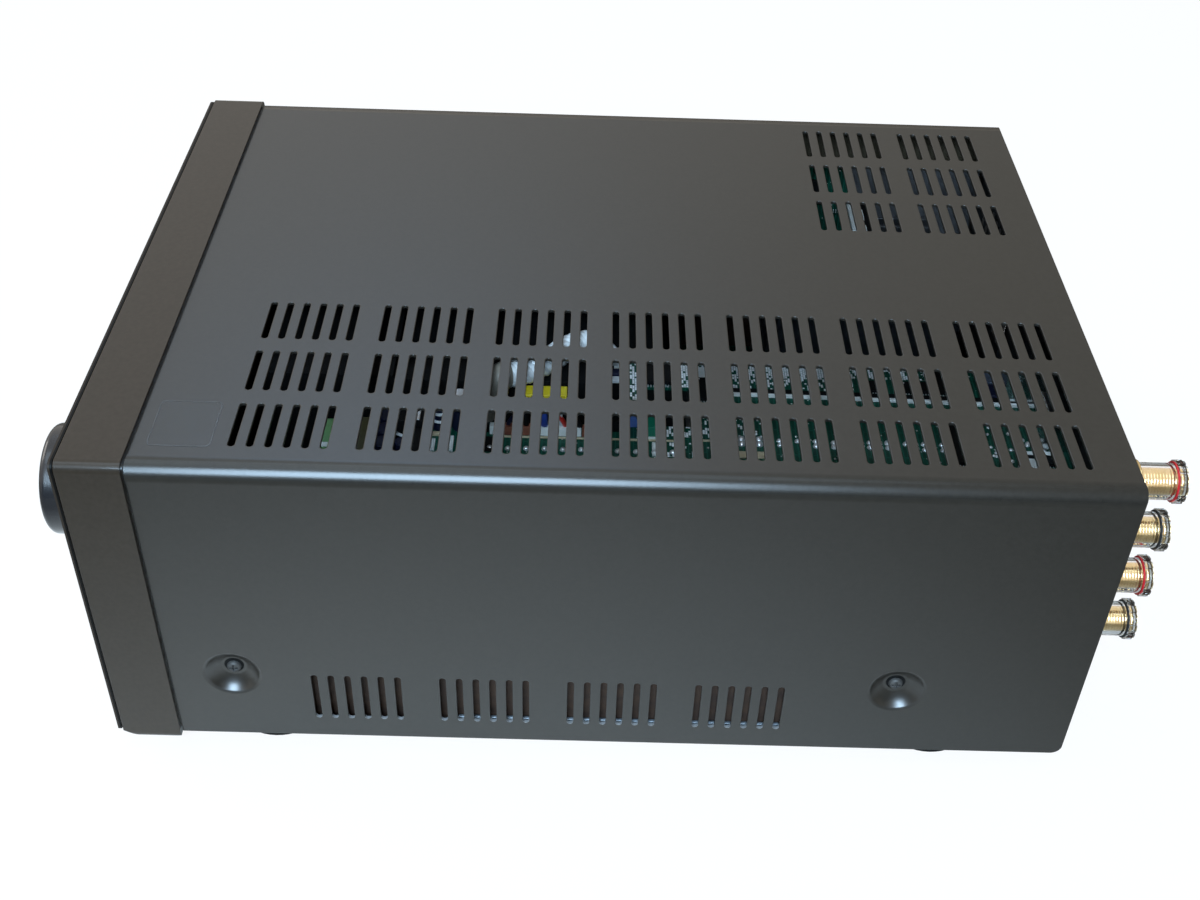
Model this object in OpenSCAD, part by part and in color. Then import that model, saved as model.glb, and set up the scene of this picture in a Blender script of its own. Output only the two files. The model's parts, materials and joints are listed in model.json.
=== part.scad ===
// Network CD receiver: a half-width table-top unit with a vented sheet-steel cover,
// a moulded front, a disc tray, a volume knob and binding posts at the rear.
// Millimetres. The front faces -Y, +X is the right-hand side seen from the front, +Z is up.
// The origin is on the floor, under the middle of the whole unit.

/* [Case] */
// Width across the cover's outer faces
case_w = 213; // [190:1:235]
// Length of the cover from its front edge to its rear edge
case_d = 279; // [270:1:310]
// Height of the cover from its bottom edge to its top face
case_h = 110; // [99:1:125]
// Sheet thickness of the cover
cover_t = 1; // [0.8:0.1:1.4]
// Outside radius of the cover's two long bends
cover_bend_r = 3; // [2:0.5:5]
// Radius of the lower rear corners of the cover's sides
cover_corner_r = 3.3; // [1:0.1:6]
// Height of the folded lip at the cover's rear edge
lip_h = 9; // [8:1:10]
// Sheet thickness of the chassis, the rear panel and the shelf
sheet_t = 1; // [0.8:0.1:1.4]
// Clearance between the cover and the sheets inside it
cover_fit = 0.3; // [0.2:0.1:0.5]

/* [Vents] */
// Width of a vent slot
slot_w = 2.05; // [1.6:0.05:2.6]
// Distance between neighbouring slots
slot_pitch = 5.1; // [4.6:0.1:5.4]
// Slots in one group
slot_count = 6; // [3:1:6]
// Length of a slot in the top
top_slot_l = 19.4; // [16:0.2:22]
// First slot of the top, from the cover's front edge
top_vent_y = 27.2; // [20:0.2:30]
// Distance between groups along the top
top_group_pitch = 35.4; // [33:0.2:35.4]
// Groups along the right-hand side of the top
top_groups = 7; // [3:1:7]
// Groups along the left-hand side of the top, counted from the rear
left_groups = 2; // [1:1:3]
// Middle of the outer row of top slots, from the case's side
vent_side = 19.8; // [17:0.1:24]
// Distance between rows of top slots
vent_row_pitch = 25.5; // [24:0.1:26]
// Rows of top slots on each side
vent_rows = 3; // [1:1:3]
// Length of a slot in the sides
side_slot_l = 19.8; // [14:0.2:24]
// Lower end of the side slots above the cover's bottom edge
side_vent_z = 8.2; // [7:0.2:14]
// First slot of a side, from the cover's front edge
side_vent_y = 43.9; // [42:0.1:50]
// Distance between groups along a side
side_group_pitch = 39.3; // [36:0.1:40]
// Groups along a side
side_groups = 4; // [2:1:4]

/* [Screw dishes] */
// Radius of a pressed dish at the cover's face
dish_r = 8.6; // [7.5:0.1:9.5]
// Width of the eased edge round a dish
dish_ease = 0.45; // [0.2:0.05:0.6]
// Radius of a dish's flat floor
dish_floor_r = 3.9; // [3.5:0.1:4.5]
// Depth of a dish
dish_depth = 3.5; // [3:0.1:4]
// Height of the dishes above the cover's bottom edge
dish_z = 27.6; // [24:0.2:32]
// Front dish from the cover's front edge
dish_front_y = 19; // [17:0.5:26]
// Rear dish from the cover's front edge
dish_rear_y = 222.7; // [215:0.1:235]

/* [Screws] */
// Radius of a screw's shank
screw_r = 1.5; // [1.2:0.1:1.6]
// Radius of a screw's head
screw_head_r = 3; // [2.6:0.1:3.3]
// Thickness of a screw's head
screw_head_t = 2; // [1.4:0.1:2.4]
// Radial clearance of a screw in its holes
screw_fit = 0.1; // [0.05:0.05:0.2]

/* [Feet] */
// Height of the case above the floor
foot_h = 8; // [7:0.5:14]
// Radius of a foot
foot_r = 16; // [12:0.5:20]
// Thickness of the pad under a foot
pad_t = 1; // [0.6:0.1:2]
// Axis of a foot from the case's side
foot_side = 20; // [20:1:30]
// Front feet from the cover's front edge
foot_front_y = 28; // [24:1:40]
// Rear feet from the cover's front edge
foot_rear_y = 239; // [225:1:250]

/* [Front] */
// Depth of the moulded bezel
bezel_d = 18.5; // [18:0.5:24]
// How far the bezel stands proud of the cover at the sides and top
bezel_proud = 1; // [0.6:0.1:2]
// How far the bezel hangs below the cover
bezel_drop = 3; // [1:0.1:4]
// Wall of the bezel
bezel_wall = 2.5; // [2.2:0.1:2.8]
// Radius of the bezel's long edges
bezel_edge_r = 2.75; // [1:0.25:3]
// Height of the slope under the bezel's front edge
chin_h = 4; // [2:0.25:5]
// Depth of the slope under the bezel's front edge
chin_d = 6.9; // [4:0.1:9]
// Gap between the bezel and the cover
seam = 0.6; // [0.4:0.1:1.2]
// Thickness of the fascia plate
fascia_t = 1.2; // [1:0.1:2]
// Width of the shadow groove between the fascia and the bezel
groove = 0.5; // [0.3:0.1:0.8]
// Clearance round the keys, the lens, the jack and the tray's door
front_fit = 0.25; // [0.2:0.05:0.4]

/* [Volume knob] */
// Radius of the knob
knob_r = 16.8; // [14:0.2:17]
// How far the knob stands out from the fascia
knob_out = 14; // [11:0.5:18]
// Gap between the knob and the fascia
knob_gap = 0.8; // [0.5:0.1:1.5]
// Radius of the knob's front edge
knob_edge_r = 2; // [1.5:0.25:4]
// Knob's axis from the case's right-hand side
knob_side = 34; // [32:0.5:36]
// Knob's axis below the cover's top face
knob_drop = 34.5; // [30:0.5:40]
// Radius of the encoder's shaft
shaft_r = 3; // [2.5:0.25:3.5]

/* [Keys and sockets] */
// Length of a key
key_l = 13; // [10:0.5:15]
// Width of a key
key_w = 6; // [5:0.25:7]
// Distance between keys in the row
key_pitch = 20; // [18:0.5:22]
// Gap between the keys and the display lens
key_gap = 14; // [10:0.5:18]
// How far keys stand out from the fascia
key_proud = 0.8; // [0.7:0.1:1.5]
// Travel of a key
key_travel = 0.7; // [0.4:0.1:0.8]
// Radius of the power key
power_r = 6.5; // [5:0.25:7]
// Power key, jack and USB socket from the case's left-hand side
column_side = 13.5; // [13:0.25:16]
// Power key above the middle of the display lens
power_lift = 5; // [0:0.5:6]
// Headphone jack below the power key
phones_drop = 26; // [22:0.5:28]
// Bore of the headphone jack
phones_r = 1.8; // [1.76:0.02:1.9]
// USB socket below the headphone jack
usb_drop = 20; // [16:0.5:22]

/* [Display] */
// Width of the display lens
lens_w = 118; // [90:1:132]
// Height of the display lens
lens_h = 24; // [18:0.5:24]
// Gap between the lens and the tray's door
lens_gap = 5.5; // [4:0.5:9]
// Lens's edge from the power key's axis
lens_side = 14; // [12:0.5:20]

/* [Disc loader] */
// Middle of the disc loader from the centre line
loader_x = -20; // [-22:0.5:-18]
// Tray's underside below the cover's top face
tray_drop = 21; // [20:0.5:22]
// Width of the tray
tray_w = 128; // [126:0.5:130]
// Height of the tray's rim
tray_h = 6.4; // [6:0.2:7]
// Floor of the tray
tray_floor_t = 2.4; // [2:0.2:2.8]
// Length of the tray behind its door
tray_l = 165; // [163:0.5:168]
// Travel of the tray
tray_travel = 130; // [124:0.5:131]
// Clearance between the tray and its guides
tray_fit = 0.4; // [0.3:0.05:0.5]
// Radius of the disc well
well_r = 61; // [60.5:0.1:61.5]
// Width of the slot in the tray for the spindle and the lens
tray_slot_w = 38; // [36:0.5:44]
// Thickness of the tray's door
door_t = 3; // [2:0.25:3.5]
// Height of the tray's door
door_h = 16; // [15:0.25:16.5]
// Travel of the pickup
sled_travel = 34; // [30:0.5:36]
// Module of the drive gear and the rack
gear_m = 1; // [0.9:0.05:1.1]
// Teeth of the drive gear
gear_teeth = 22; // [18:1:23]

/* [Rear connectors] */
// Binding posts from the case's right-hand side
post_side = 26.5; // [24:0.5:30]
// Highest binding post below the cover's top face
post_drop = 17.45; // [16.5:0.05:22]
// Distance between binding posts
post_pitch = 19.25; // [17:0.25:19.5]
// How far the binding posts reach behind the cover
post_out = 20.7; // [20:0.1:26]
// Radius of a binding post's thread
post_r = 4; // [3.5:0.1:4.4]
// Radius of the banana plug's socket in a post
banana_r = 2.05; // [2.02:0.01:2.2]
// Radius of a cap's end flange
cap_r = 6.5; // [6:0.1:8]
// Radial clearance of turning parts
running_fit = 0.05; // [0.02:0.01:0.08]

/* [Hidden] */
$fn = 64;
eps = 0.01;
// How far a cut runs past the face that it opens
over = 1;

// Planes from front to back
overall_d = knob_out + fascia_t + bezel_d + seam + case_d + post_out;
y_fascia = -overall_d / 2 + knob_out;
y_bezel = y_fascia + fascia_t;
y_wall = y_bezel + bezel_wall;
y_plate = y_bezel + bezel_d;
y_cover = y_plate + seam;
y_tail = y_cover + case_d;
y_out = y_tail - cover_t;
y_panel = y_out - sheet_t;

// Planes from the floor up
z_base = foot_h;
z_floor = z_base + sheet_t;
z_top = z_base + case_h;
z_roof = z_top - cover_t - cover_fit;

// Case
half_w = case_w / 2;
inner_w = case_w - 2 * (cover_t + cover_fit);
inner_bend_r = cover_bend_r - cover_t - cover_fit;
dish_c = (pow(dish_r, 2) - pow(dish_floor_r, 2) - pow(dish_depth, 2)) / (2 * dish_depth);
dish_ball = sqrt(dish_r * dish_r + dish_c * dish_c);
dish_ease_in = 0.92;
dish_ease_d = 0.45;
dish_y = [y_cover + dish_front_y, y_cover + dish_rear_y];
tab_x = half_w - dish_depth - cover_t;
tab_w = 24;
side_lip_h = 6;
screw_l = 7;
floor_slots = 9;
floor_slot_l = 30;
floor_slot_w = 3;
floor_slot_pitch = 6;
screw_hole_r = screw_r + screw_fit;
lip_screw_left = 25.5;
lip_screw_right = 47;
lip_screw_x = [-half_w + lip_screw_left, 0, half_w - lip_screw_right];
foot_xy = [
    for (sx = [-1, 1], y = [foot_front_y, foot_rear_y]) [sx * (half_w - foot_side), y_cover + y]
];
foot_recess_gap = 1.5;
foot_recess_r = screw_head_r + foot_recess_gap;
foot_floor_t = 3;
foot_step = 1;
pad_inset = 2;

// Front
bezel_w = case_w + 2 * bezel_proud;
bezel_top = z_top + bezel_proud;
bezel_bottom = z_base - bezel_drop;
bezel_h = bezel_top - bezel_bottom;
chin_wall = 1;
bezel_floor_z = bezel_bottom + chin_h + chin_wall;
heel_d = 3.2;
heel_h = 1.6;
boss_r = 3.5;
boss_side = 9.5;
boss_edge = 6.5;
boss_at = [
    for (sx = [-1, 1], z = [z_base + boss_edge, z_top - boss_edge]) [sx * (half_w - boss_side), z]
];
tray_z = z_top - tray_drop;
door_drop = 4.5;
door_z = tray_z - door_drop;
column_x = -half_w + column_side;
lens_at = [column_x + lens_side + lens_w / 2, door_z - lens_gap - lens_h / 2];
knob_at = [half_w - knob_side, z_top - knob_drop];
key_row_z = lens_at[1] - lens_h / 2 - key_gap - key_w / 2;
key_at = [for (i = [-2 : 2]) [loader_x + i * key_pitch, key_row_z]];
source_at = [knob_at[0], key_row_z];
power_at = [column_x, lens_at[1] + power_lift];
phones_at = power_at - [0, phones_drop];
usb_at = phones_at - [0, usb_drop];
usb_w = 13.2;
usb_h = 5.8;
usb_l = 14;
usb_shell_t = 0.4;
usb_inset = 0.3;
usb_back_t = 1.5;
usb_tongue = [11.2, 1.8];
usb_tongue_in = 2;
usb_tongue_z = 0.7;
usb_seat_t = 2;
usb_seat_l = 8;
phones_barrel_r = 4;
phones_end_gap = 1.2;
phones_l = fascia_t + bezel_d - phones_end_gap;
phones_depth = 15;
phones_box = [11, 10];
bushing_wall = 0.8;
bushing_r = shaft_r + bushing_wall;
encoder_side = 13;
encoder_gap = 0.5;
encoder_back_t = 3;
shaft_end_gap = 0.2;
knob_hub_wall = 2.5;
knob_hub_r = shaft_r + knob_hub_wall;
knob_wall = 2.5;
knob_face_t = 5;
knob_bore_face_t = 4;
knob_mark = [1.2, 6, 1];
lens_r = 2;
lens_rim = 2.5;
lens_rim_t = 1.2;
lens_inset = 0.1;
module_gap = 0.4;
module_side = 4;
module_edge = 2;
flange_gap = 0.05;
key_rim = 1.2;
key_rim_t = 1.5;
key_stem_r = 1.8;
key_slack = 0.1;

// Front board
pcb_t = 1.6;
switch_t = 4.5;
switch_w = 6;
board_gap = 8;
y_board = y_wall + board_gap;
board_left = 22.5;
board_x0 = -half_w + board_left;
board_right = 14.5;
board_x1 = half_w - board_right;
board_floor_gap = 1.5;
board_z0 = bezel_floor_z + board_floor_gap;
board_tray_gap = 5;
board_z1 = tray_z - board_tray_gap;
board_step_drop = 10;
board_step_z = power_at[1] - board_step_drop;
board_step_w = 8;
post_inset = 6;
board_posts = [
    [board_x0 + post_inset, board_z0 + post_inset],
    [board_x1 - post_inset, board_z0 + post_inset],
    [board_x0 + post_inset, phones_at[1]],
    [board_x1 - post_inset, board_z1 - post_inset]
];
board_post_r = 2.5;

// Disc loader
disc_r = 60;
disc_t = 1.2;
disc_out = 4;
disc_y = y_fascia + tray_travel - disc_out - disc_r;
tray_y0 = y_fascia + door_t;
tray_y1 = tray_y0 + tray_l;
door_side = 2;
door_w = tray_w + 2 * door_side;
door_at = [loader_x, door_z + door_h / 2];
loader_y0 = y_plate + sheet_t + cover_fit;
loader_end_gap = 8;
loader_y1 = tray_y1 + loader_end_gap;
loader_floor_t = 3;
loader_drop = 21;
loader_z0 = tray_z - loader_drop;
loader_head = 2.6;
loader_z1 = tray_z + tray_h + loader_head;
loader_wall = 3.6;
guide_x = tray_w / 2 + tray_fit;
guide_reach = 3;
guide_t = 3;
gate_lift = 2;
gate_z = tray_z + gate_lift;
gate_side = 2;
gate_w = 2 * (guide_x + gate_side);
gate_h = 15;
well_small_r = 40.5;
well_step = 0.8;
stud_r = 4;
stud_side = 3;
stud_front = 10;
stud_rear = 8;
stud_at = [
    for (sx = [-1, 1], y = [loader_y0 + stud_front, loader_y1 - stud_rear])
        [loader_x + sx * (guide_x - stud_side), y]
];
platter_r = 15;
platter_t = 2;
platter_lift = 4.2;
platter_z = tray_z + platter_lift;
platter_hub_r = 4;
cone_r = 7.4;
cone_top_r = 5.5;
cone_h = 1.2;
clamper_gap = 0.1;
clamper_z = platter_z + disc_t + clamper_gap;
clamper_r = 14;
clamper_t = 2.6;
clamper_cap_r = 13.5;
clamper_cap_t = 2;
clamper_lift = 0.2;
clamper_bore_r = 8.5;
clamper_bore_t = 2.2;
bridge_t = 1.2;
bridge_hole_r = 11;
bridge_l = 40;
neck_fit = 0.5;
plate_drop = 13;
plate_z = tray_z - plate_drop;
plate_t = 1.5;
plate_w = 80;
plate_front = 18;
plate_y0 = disc_y - plate_front;
plate_rear = 56;
plate_y1 = disc_y + plate_rear + sled_travel;
plate_hole_r = 3;
damper_r = 4;
damper_bore_r = 1.5;
damper_inset = 4.5;
damper_at = [
    for (sx = [-1, 1], y = [plate_y0 + damper_inset, plate_y1 - damper_inset])
        [loader_x + sx * (plate_w / 2 - damper_inset), y]
];
spindle_r = 1;
spindle_in = 9.8;
motor_r = 12;
motor_h = 12;
motor_floor_t = 2;
rod_r = 1.5;
rod_x = 24;
rod_drop = 6;
rod_z = tray_z - rod_drop;
rod_block_t = 4;
rod_block_w = 8;
rod_block_gap = 1;
sled_w = 56;
sled_l = 28;
sled_start = 18;
sled_y0 = disc_y + sled_start;
sled_drop = 10;
sled_z0 = tray_z - sled_drop;
sled_gap = 1.5;
sled_z1 = tray_z - sled_gap;
turret_r = 6;
turret_h = 3.5;
turret_edge = 1;
turret_y = sled_y0 + turret_r + turret_edge;
pickup_lens_r = 2.2;
pickup_lens_t = 1;

// Tray drive
gear_r = gear_m * gear_teeth / 2;
rack_line = 49;
gear_x = loader_x + rack_line - gear_r;
gear_front = 13;
gear_y = loader_y0 + gear_front;
gear_t = 2.6;
gear_drop = 3.2;
gear_z = tray_z - gear_drop;
tooth_pitch = PI * gear_m;
tooth_tip = 0.1 * tooth_pitch;
tooth_root = 0.29 * tooth_pitch;
rack_x = gear_x + gear_r;
rack_back = 4;
rack_t = 3.4;
rack_lead = 3;
pin_r = 1.5;
pin_collar_r = 3.5;
pin_collar_gap = 0.2;
gear_hub_r = 5;
pulley_drop = 12;
pulley_z = tray_z - pulley_drop;
pulley_rim_t = 1;
belt_t = 1.4;
belt_fit = 0.1;
pulley_h = 2 * pulley_rim_t + belt_t + 2 * belt_fit;
belt_z = pulley_z + pulley_rim_t + belt_fit;
drive_pulley_r = 10;
motor_pulley_r = 3.2;
pulley_rim = 1;
load_motor_r = 10;
load_motor_h = 22;
pulley_span = 40;
load_motor_x = gear_x - pulley_span;
load_shaft_r = 1;
load_shaft_in = 9.5;
load_shaft_hole_r = 2.5;

// Electronics
core_w = 60;
core_h = 50;
core_l = 30;
core_leg = 10;
core_side = 12;
core_back = 26;
core_at = [-half_w + core_side + core_w / 2, disc_y + core_back];
amp_lift = 6;
amp_z = z_floor + amp_lift;
amp_top = amp_z + pcb_t;
board_edge = 8;
core_gap = 4.5;
amp_x0 = core_at[0] + core_w / 2 + core_gap;
amp_x1 = half_w - board_edge;
amp_front = 75;
amp_y0 = y_fascia + amp_front;
amp_step_gap = 6;
amp_step_y = loader_y1 + amp_step_gap;
amp_rear_gap = 4;
amp_y1 = y_panel - amp_rear_gap;
spacer_r = 2.5;
spacer_inset = 6;
amp_spacers = [
    [amp_x0 + spacer_inset, amp_y0 + spacer_inset],
    [amp_x1 - spacer_inset, amp_y0 + spacer_inset],
    [amp_x1 - spacer_inset, amp_y1 - spacer_inset],
    [-amp_x1 + spacer_inset, amp_y1 - spacer_inset],
    [-amp_x1 + spacer_inset, amp_step_y + spacer_inset]
];
stud_gap = 2;
sink_w = 64;
sink_l = 66;
sink_h = 66;
sink_edge = 2.5;
sink_x0 = -amp_x1 + sink_edge;
sink_rear = 14;
sink_y1 = amp_y1 - sink_rear;
sink_fins = 11;
floor_slot_shift = 12;
floor_slot_x = sink_x0 + sink_w / 2 + floor_slot_shift;
rear_slots = 10;
rear_slot_in = 4;
rear_slot_x = sink_x0 + rear_slot_in;
rear_slot_lift = 70;
rear_slot_z = z_base + rear_slot_lift;
rear_slot_l = 34;
rear_slot_w = 3;
rear_slot_pitch = 6;
sink_base_t = 5;
fin_t = 1.6;
can_r = 12.5;
can_h = 40;
can_in = 36;
can_pitch = 30;
can_front = 50;
can_at = [for (i = [0, 1]) [amp_x0 + can_in + i * can_pitch, sink_y1 - can_front]];
coil_wall = 11;
coil_corner_r = 4;
coil_fit = 0.2;
shelf_drop = 32;
shelf_z = z_top - shelf_drop;
shelf_top = shelf_z + sheet_t;
shelf_side = 5;
shelf_x1 = half_w - shelf_side;
shelf_gap = 2;
shelf_x0 = loader_x + guide_x + loader_wall + shelf_gap;
shelf_wing = 32;
shelf_wing_x = loader_x + shelf_wing;
shelf_front = 66;
shelf_y0 = y_fascia + shelf_front;
shelf_wing_gap = 1;
shelf_wing_y = loader_y1 + shelf_wing_gap;
shelf_foot_w = 10;
shelf_foot_in = 4;
shelf_foot_front = 30;
shelf_foot_rear = 24;
shelf_side_feet_y = [disc_y + shelf_foot_front, loader_y1 + shelf_foot_rear];
shelf_flange_w = 24;
shelf_flange_h = 14;
shelf_window = 14;
shelf_window_pitch = 26;
shelf_window_side = 12;
board_lift = 4;
deck_z = shelf_top + board_lift;
deck_top = deck_z + pcb_t;
deck_front = 4;
deck_split = 3;
deck_start = 2;
deck_rear = 3;
deck_right = 3.5;
deck_left = 1;
power_board_y0 = shelf_y0 + deck_front;
power_board_y1 = shelf_wing_y - deck_split;
network_y0 = shelf_wing_y + deck_start;
network_y1 = y_panel - deck_rear;
deck_x1 = shelf_x1 - deck_right;
deck_x0 = shelf_x0 + deck_left;
network_x0 = shelf_wing_x + deck_left;
deck_inset = 5;
deck_spacers = [
    for (x = [deck_x0 + deck_inset, deck_x1 - deck_inset])
        for (y = [power_board_y0 + deck_inset, power_board_y1 - deck_inset]) [x, y],
    for (x = [network_x0 + deck_inset, deck_x1 - deck_inset])
        for (y = [network_y0 + deck_inset, network_y1 - deck_inset]) [x, y]
];
cable_w = 18;
cable_t = 0.8;
cable_x = (shelf_x0 + shelf_x1) / 2;
cable_lift = 26;
cable_z = z_base + cable_lift;
cable_drop = 14;
cable_drop_y = amp_y0 + cable_drop;
cable_gate_side = 3;
cable_gate_w = cable_w + 2 * cable_gate_side;
cable_gate_h = 12;

// Rear connectors
post_x = half_w - post_side;
posts_z = [for (i = [0 : 3]) z_top - post_drop - i * post_pitch];
block_w = 24;
block_t = 2;
block_margin = 6.5;
collar_r = 6.3;
collar_l = 6.2;
tail_r = 2.5;
tail_l = 8;
tail_gap = 1;
post_y1 = y_tail + post_out;
post_inset_y = 0.5;
cap_gap = 0.3;
cap_y0 = y_out + block_t + collar_l + cap_gap;
rib_cut_r = 0.6;
rib_step = 30;
cap_flange_step = 1;
cap_body_r = cap_r - cap_flange_step;
cap_flange_l = 2.4;
banana_depth = 14;
jack_pitch = 16;
jack_r = 4.15;
jack_bore_r = 1.65;
jack_out = 9;
jack_depth = 9;
jack_block_l = 14;
jacks_shift = 48;
jacks_x = loader_x + jacks_shift;
jack_lift = 10;
jack_at = [
    for (sx = [-1, 1], row = [0, 1])
        [jacks_x + sx * jack_pitch / 2, amp_top + jack_lift + row * jack_pitch]
];
jack_ring_r = 5;
jack_ring_t = 1;
jack_block_h = 36;
lan_w = 16;
lan_h = 13.5;
lan_l = 21;
lan_mouth_w = 11.8;
lan_mouth_h = 8;
lan_mouth_d = 14;
lan_mouth_lift = 2.5;
lan_mouth_z = deck_top + lan_mouth_lift;
lan_shift = 14;
lan_x = network_x0 + lan_shift;
panel_fit = 0.3;
socket_proud = 0.5;
aerial_shift = 25;
aerial_x = lan_x + aerial_shift;
aerial_lift = 5;
aerial_z = deck_top + aerial_lift;
aerial_r = 4.75;
aerial_l = 10;
aerial_box = 12;
aerial_box_h = 14;
aerial_core_r = 0.8;
inlet_side = 24;
inlet_x = -half_w + inlet_side;
inlet_lift = 26;
inlet_z = z_base + inlet_lift;
inlet_w = 24;
inlet_h = 18;
inlet_l = 18;
inlet_rim = 2;
inlet_flange = 3;
inlet_flange_r = 2;
inlet_pin_x = 4.3;
inlet_pin_r = 1.15;
inlet_mouth_r = 3.9;
inlet_mouth_d = 14;
inlet_pin_l = 9;

// Shapes that repeat

// Rounded rectangle about the origin
module rounded(w, h, r) {
    square([w - 2 * r, h], center = true);
    square([w, h - 2 * r], center = true);
    for (sx = [-1, 1], sy = [-1, 1])
        translate([sx * (w / 2 - r), sy * (h / 2 - r)]) circle(r);
}

// Slot with round ends, along X
module stadium(l, w) {
    square([l - w, w], center = true);
    for (s = [-1, 1])
        translate([s * (l - w) / 2, 0]) circle(w / 2);
}

// Extrudes an outline drawn in X and Z along +Y
module along_y(y0, l) {
    translate([0, y0 + l, 0]) rotate([90, 0, 0]) linear_extrude(l) children();
}

// Extrudes an outline drawn in Y and Z along +X
module along_x(x0, l) {
    translate([x0, 0, 0]) rotate([90, 0, 90]) linear_extrude(l) children();
}

module rod_y(at, y0, r, l) {
    translate([at[0], y0, at[1]]) rotate([-90, 0, 0]) cylinder(r = r, h = l);
}

module rod_z(at, z0, r, l) {
    translate([at[0], at[1], z0]) cylinder(r = r, h = l);
}

module block(lo, hi) {
    translate(lo) cube(hi - lo);
}

// Cross-head screw along +Z, with its head's seat at the origin and its shank below
module screw(l) {
    difference() {
        union() {
            cylinder(r = screw_head_r, h = screw_head_t);
            translate([0, 0, -l]) cylinder(r = screw_r, h = l + eps);
        }
        for (turn = [0, 90])
            rotate([0, 0, turn])
                translate([0, 0, screw_head_t])
                    cube([1.2 * screw_head_r, 0.3 * screw_head_r, screw_head_t], center = true);
    }
}

// Case

module bent_profile(w, top, r, bottom) {
    translate([-w / 2, bottom]) square([w, top - r - bottom]);
    translate([-w / 2 + r, bottom]) square([w - 2 * r, top - bottom]);
    for (s = [-1, 1])
        translate([s * (w / 2 - r), top - r]) circle(r);
}

// Pressed dish on the +X side, solid or as the hollow in it
module dish(y, hollow) {
    grow = hollow ? 0 : cover_t;
    intersection() {
        translate([half_w + dish_c, y, z_base + dish_z]) sphere(dish_ball + grow);
        translate([half_w - dish_depth - grow, y, z_base + dish_z])
            rotate([0, 90, 0]) cylinder(r = dish_r + 2 * over, h = dish_depth + (hollow ? over : 0));
    }
}

// Cone that eases the edge of a dish
module dish_edge(y) {
    edge_r = dish_r + dish_ease;
    translate([half_w - dish_ease_d, y, z_base + dish_z]) rotate([0, 90, 0])
        cylinder(r1 = edge_r - dish_ease_in, r2 = edge_r + dish_ease_in, h = 2 * dish_ease_d);
}

module top_slots() {
    for (side = [-1, 1], row = [0 : vent_rows - 1], group = [0 : top_groups - 1])
        if (side > 0 || group >= top_groups - left_groups)
            for (i = [0 : slot_count - 1])
                translate([
                    side * (half_w - vent_side - row * vent_row_pitch),
                    y_cover + top_vent_y + group * top_group_pitch + i * slot_pitch,
                    z_top - 2 * cover_t
                ])
                    linear_extrude(3 * cover_t) stadium(top_slot_l, slot_w);
}

module side_slots() {
    for (group = [0 : side_groups - 1], i = [0 : slot_count - 1])
        along_x(half_w - 2 * cover_t, 3 * cover_t)
            translate([
                y_cover + side_vent_y + group * side_group_pitch + i * slot_pitch,
                z_base + side_vent_z + side_slot_l / 2
            ])
                rotate(90) stadium(side_slot_l, slot_w);
}

module cover_sheet() {
    difference() {
        along_y(y_cover, case_d) difference() {
            bent_profile(case_w, z_top, cover_bend_r, z_base);
            bent_profile(case_w - 2 * cover_t, z_top - cover_t, cover_bend_r - cover_t, z_base - over);
        }
        along_x(-half_w - over, case_w + 2 * over) difference() {
            translate([y_tail - cover_corner_r, z_base - over]) square(cover_corner_r + over);
            translate([y_tail - cover_corner_r, z_base + cover_corner_r]) circle(cover_corner_r);
        }
    }
    block(
        [-half_w + cover_bend_r, y_out, z_top - lip_h],
        [half_w - cover_bend_r, y_tail, z_top - cover_t / 2]
    );
}

module top_cover() {
    color("#4c4a47") difference() {
        union() {
            cover_sheet();
            for (m = [0, 1], y = dish_y)
                mirror([m, 0, 0]) dish(y, false);
        }
        top_slots();
        for (m = [0, 1]) mirror([m, 0, 0]) {
            side_slots();
            for (y = dish_y) {
                dish(y, true);
                dish_edge(y);
                translate([tab_x - over, y, z_base + dish_z])
                    rotate([0, 90, 0]) cylinder(r = screw_hole_r, h = cover_t + 2 * over);
            }
        }
        for (x = lip_screw_x)
            rod_y([x, z_top - lip_h / 2], y_out - over, screw_hole_r, cover_t + 2 * over);
    }
}

module cover_screws() {
    color("#2c2c2e") {
        for (m = [0, 1], y = dish_y)
            mirror([m, 0, 0])
                translate([half_w - dish_depth, y, z_base + dish_z]) rotate([0, 90, 0]) screw(screw_l);
        for (x = lip_screw_x)
            translate([x, y_tail, z_top - lip_h / 2]) rotate([-90, 0, 0]) screw(screw_l);
    }
}

// Folded pan with the front wall, the screw tabs and the clinched studs
module chassis_pan() {
    color("#a9adb0") difference() {
        union() {
            block([-inner_w / 2, y_plate, z_base], [inner_w / 2, y_panel, z_floor]);
            along_y(y_plate, sheet_t) bent_profile(inner_w, z_roof, inner_bend_r, z_base);
            for (m = [0, 1]) mirror([m, 0, 0]) {
                block(
                    [inner_w / 2 - sheet_t, y_plate, z_base],
                    [inner_w / 2, y_panel, z_base + side_lip_h]
                );
                for (y = dish_y)
                    block(
                        [tab_x - sheet_t, y - tab_w / 2, z_base],
                        [tab_x, y + tab_w / 2, z_base + dish_z + dish_r]
                    );
            }
            for (at = stud_at) rod_z(at, z_base, stud_r, loader_z0 - z_base);
            for (at = amp_spacers) rod_z(at, z_base, spacer_r, amp_z - z_base);
        }
        pan_openings();
    }
}

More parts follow.
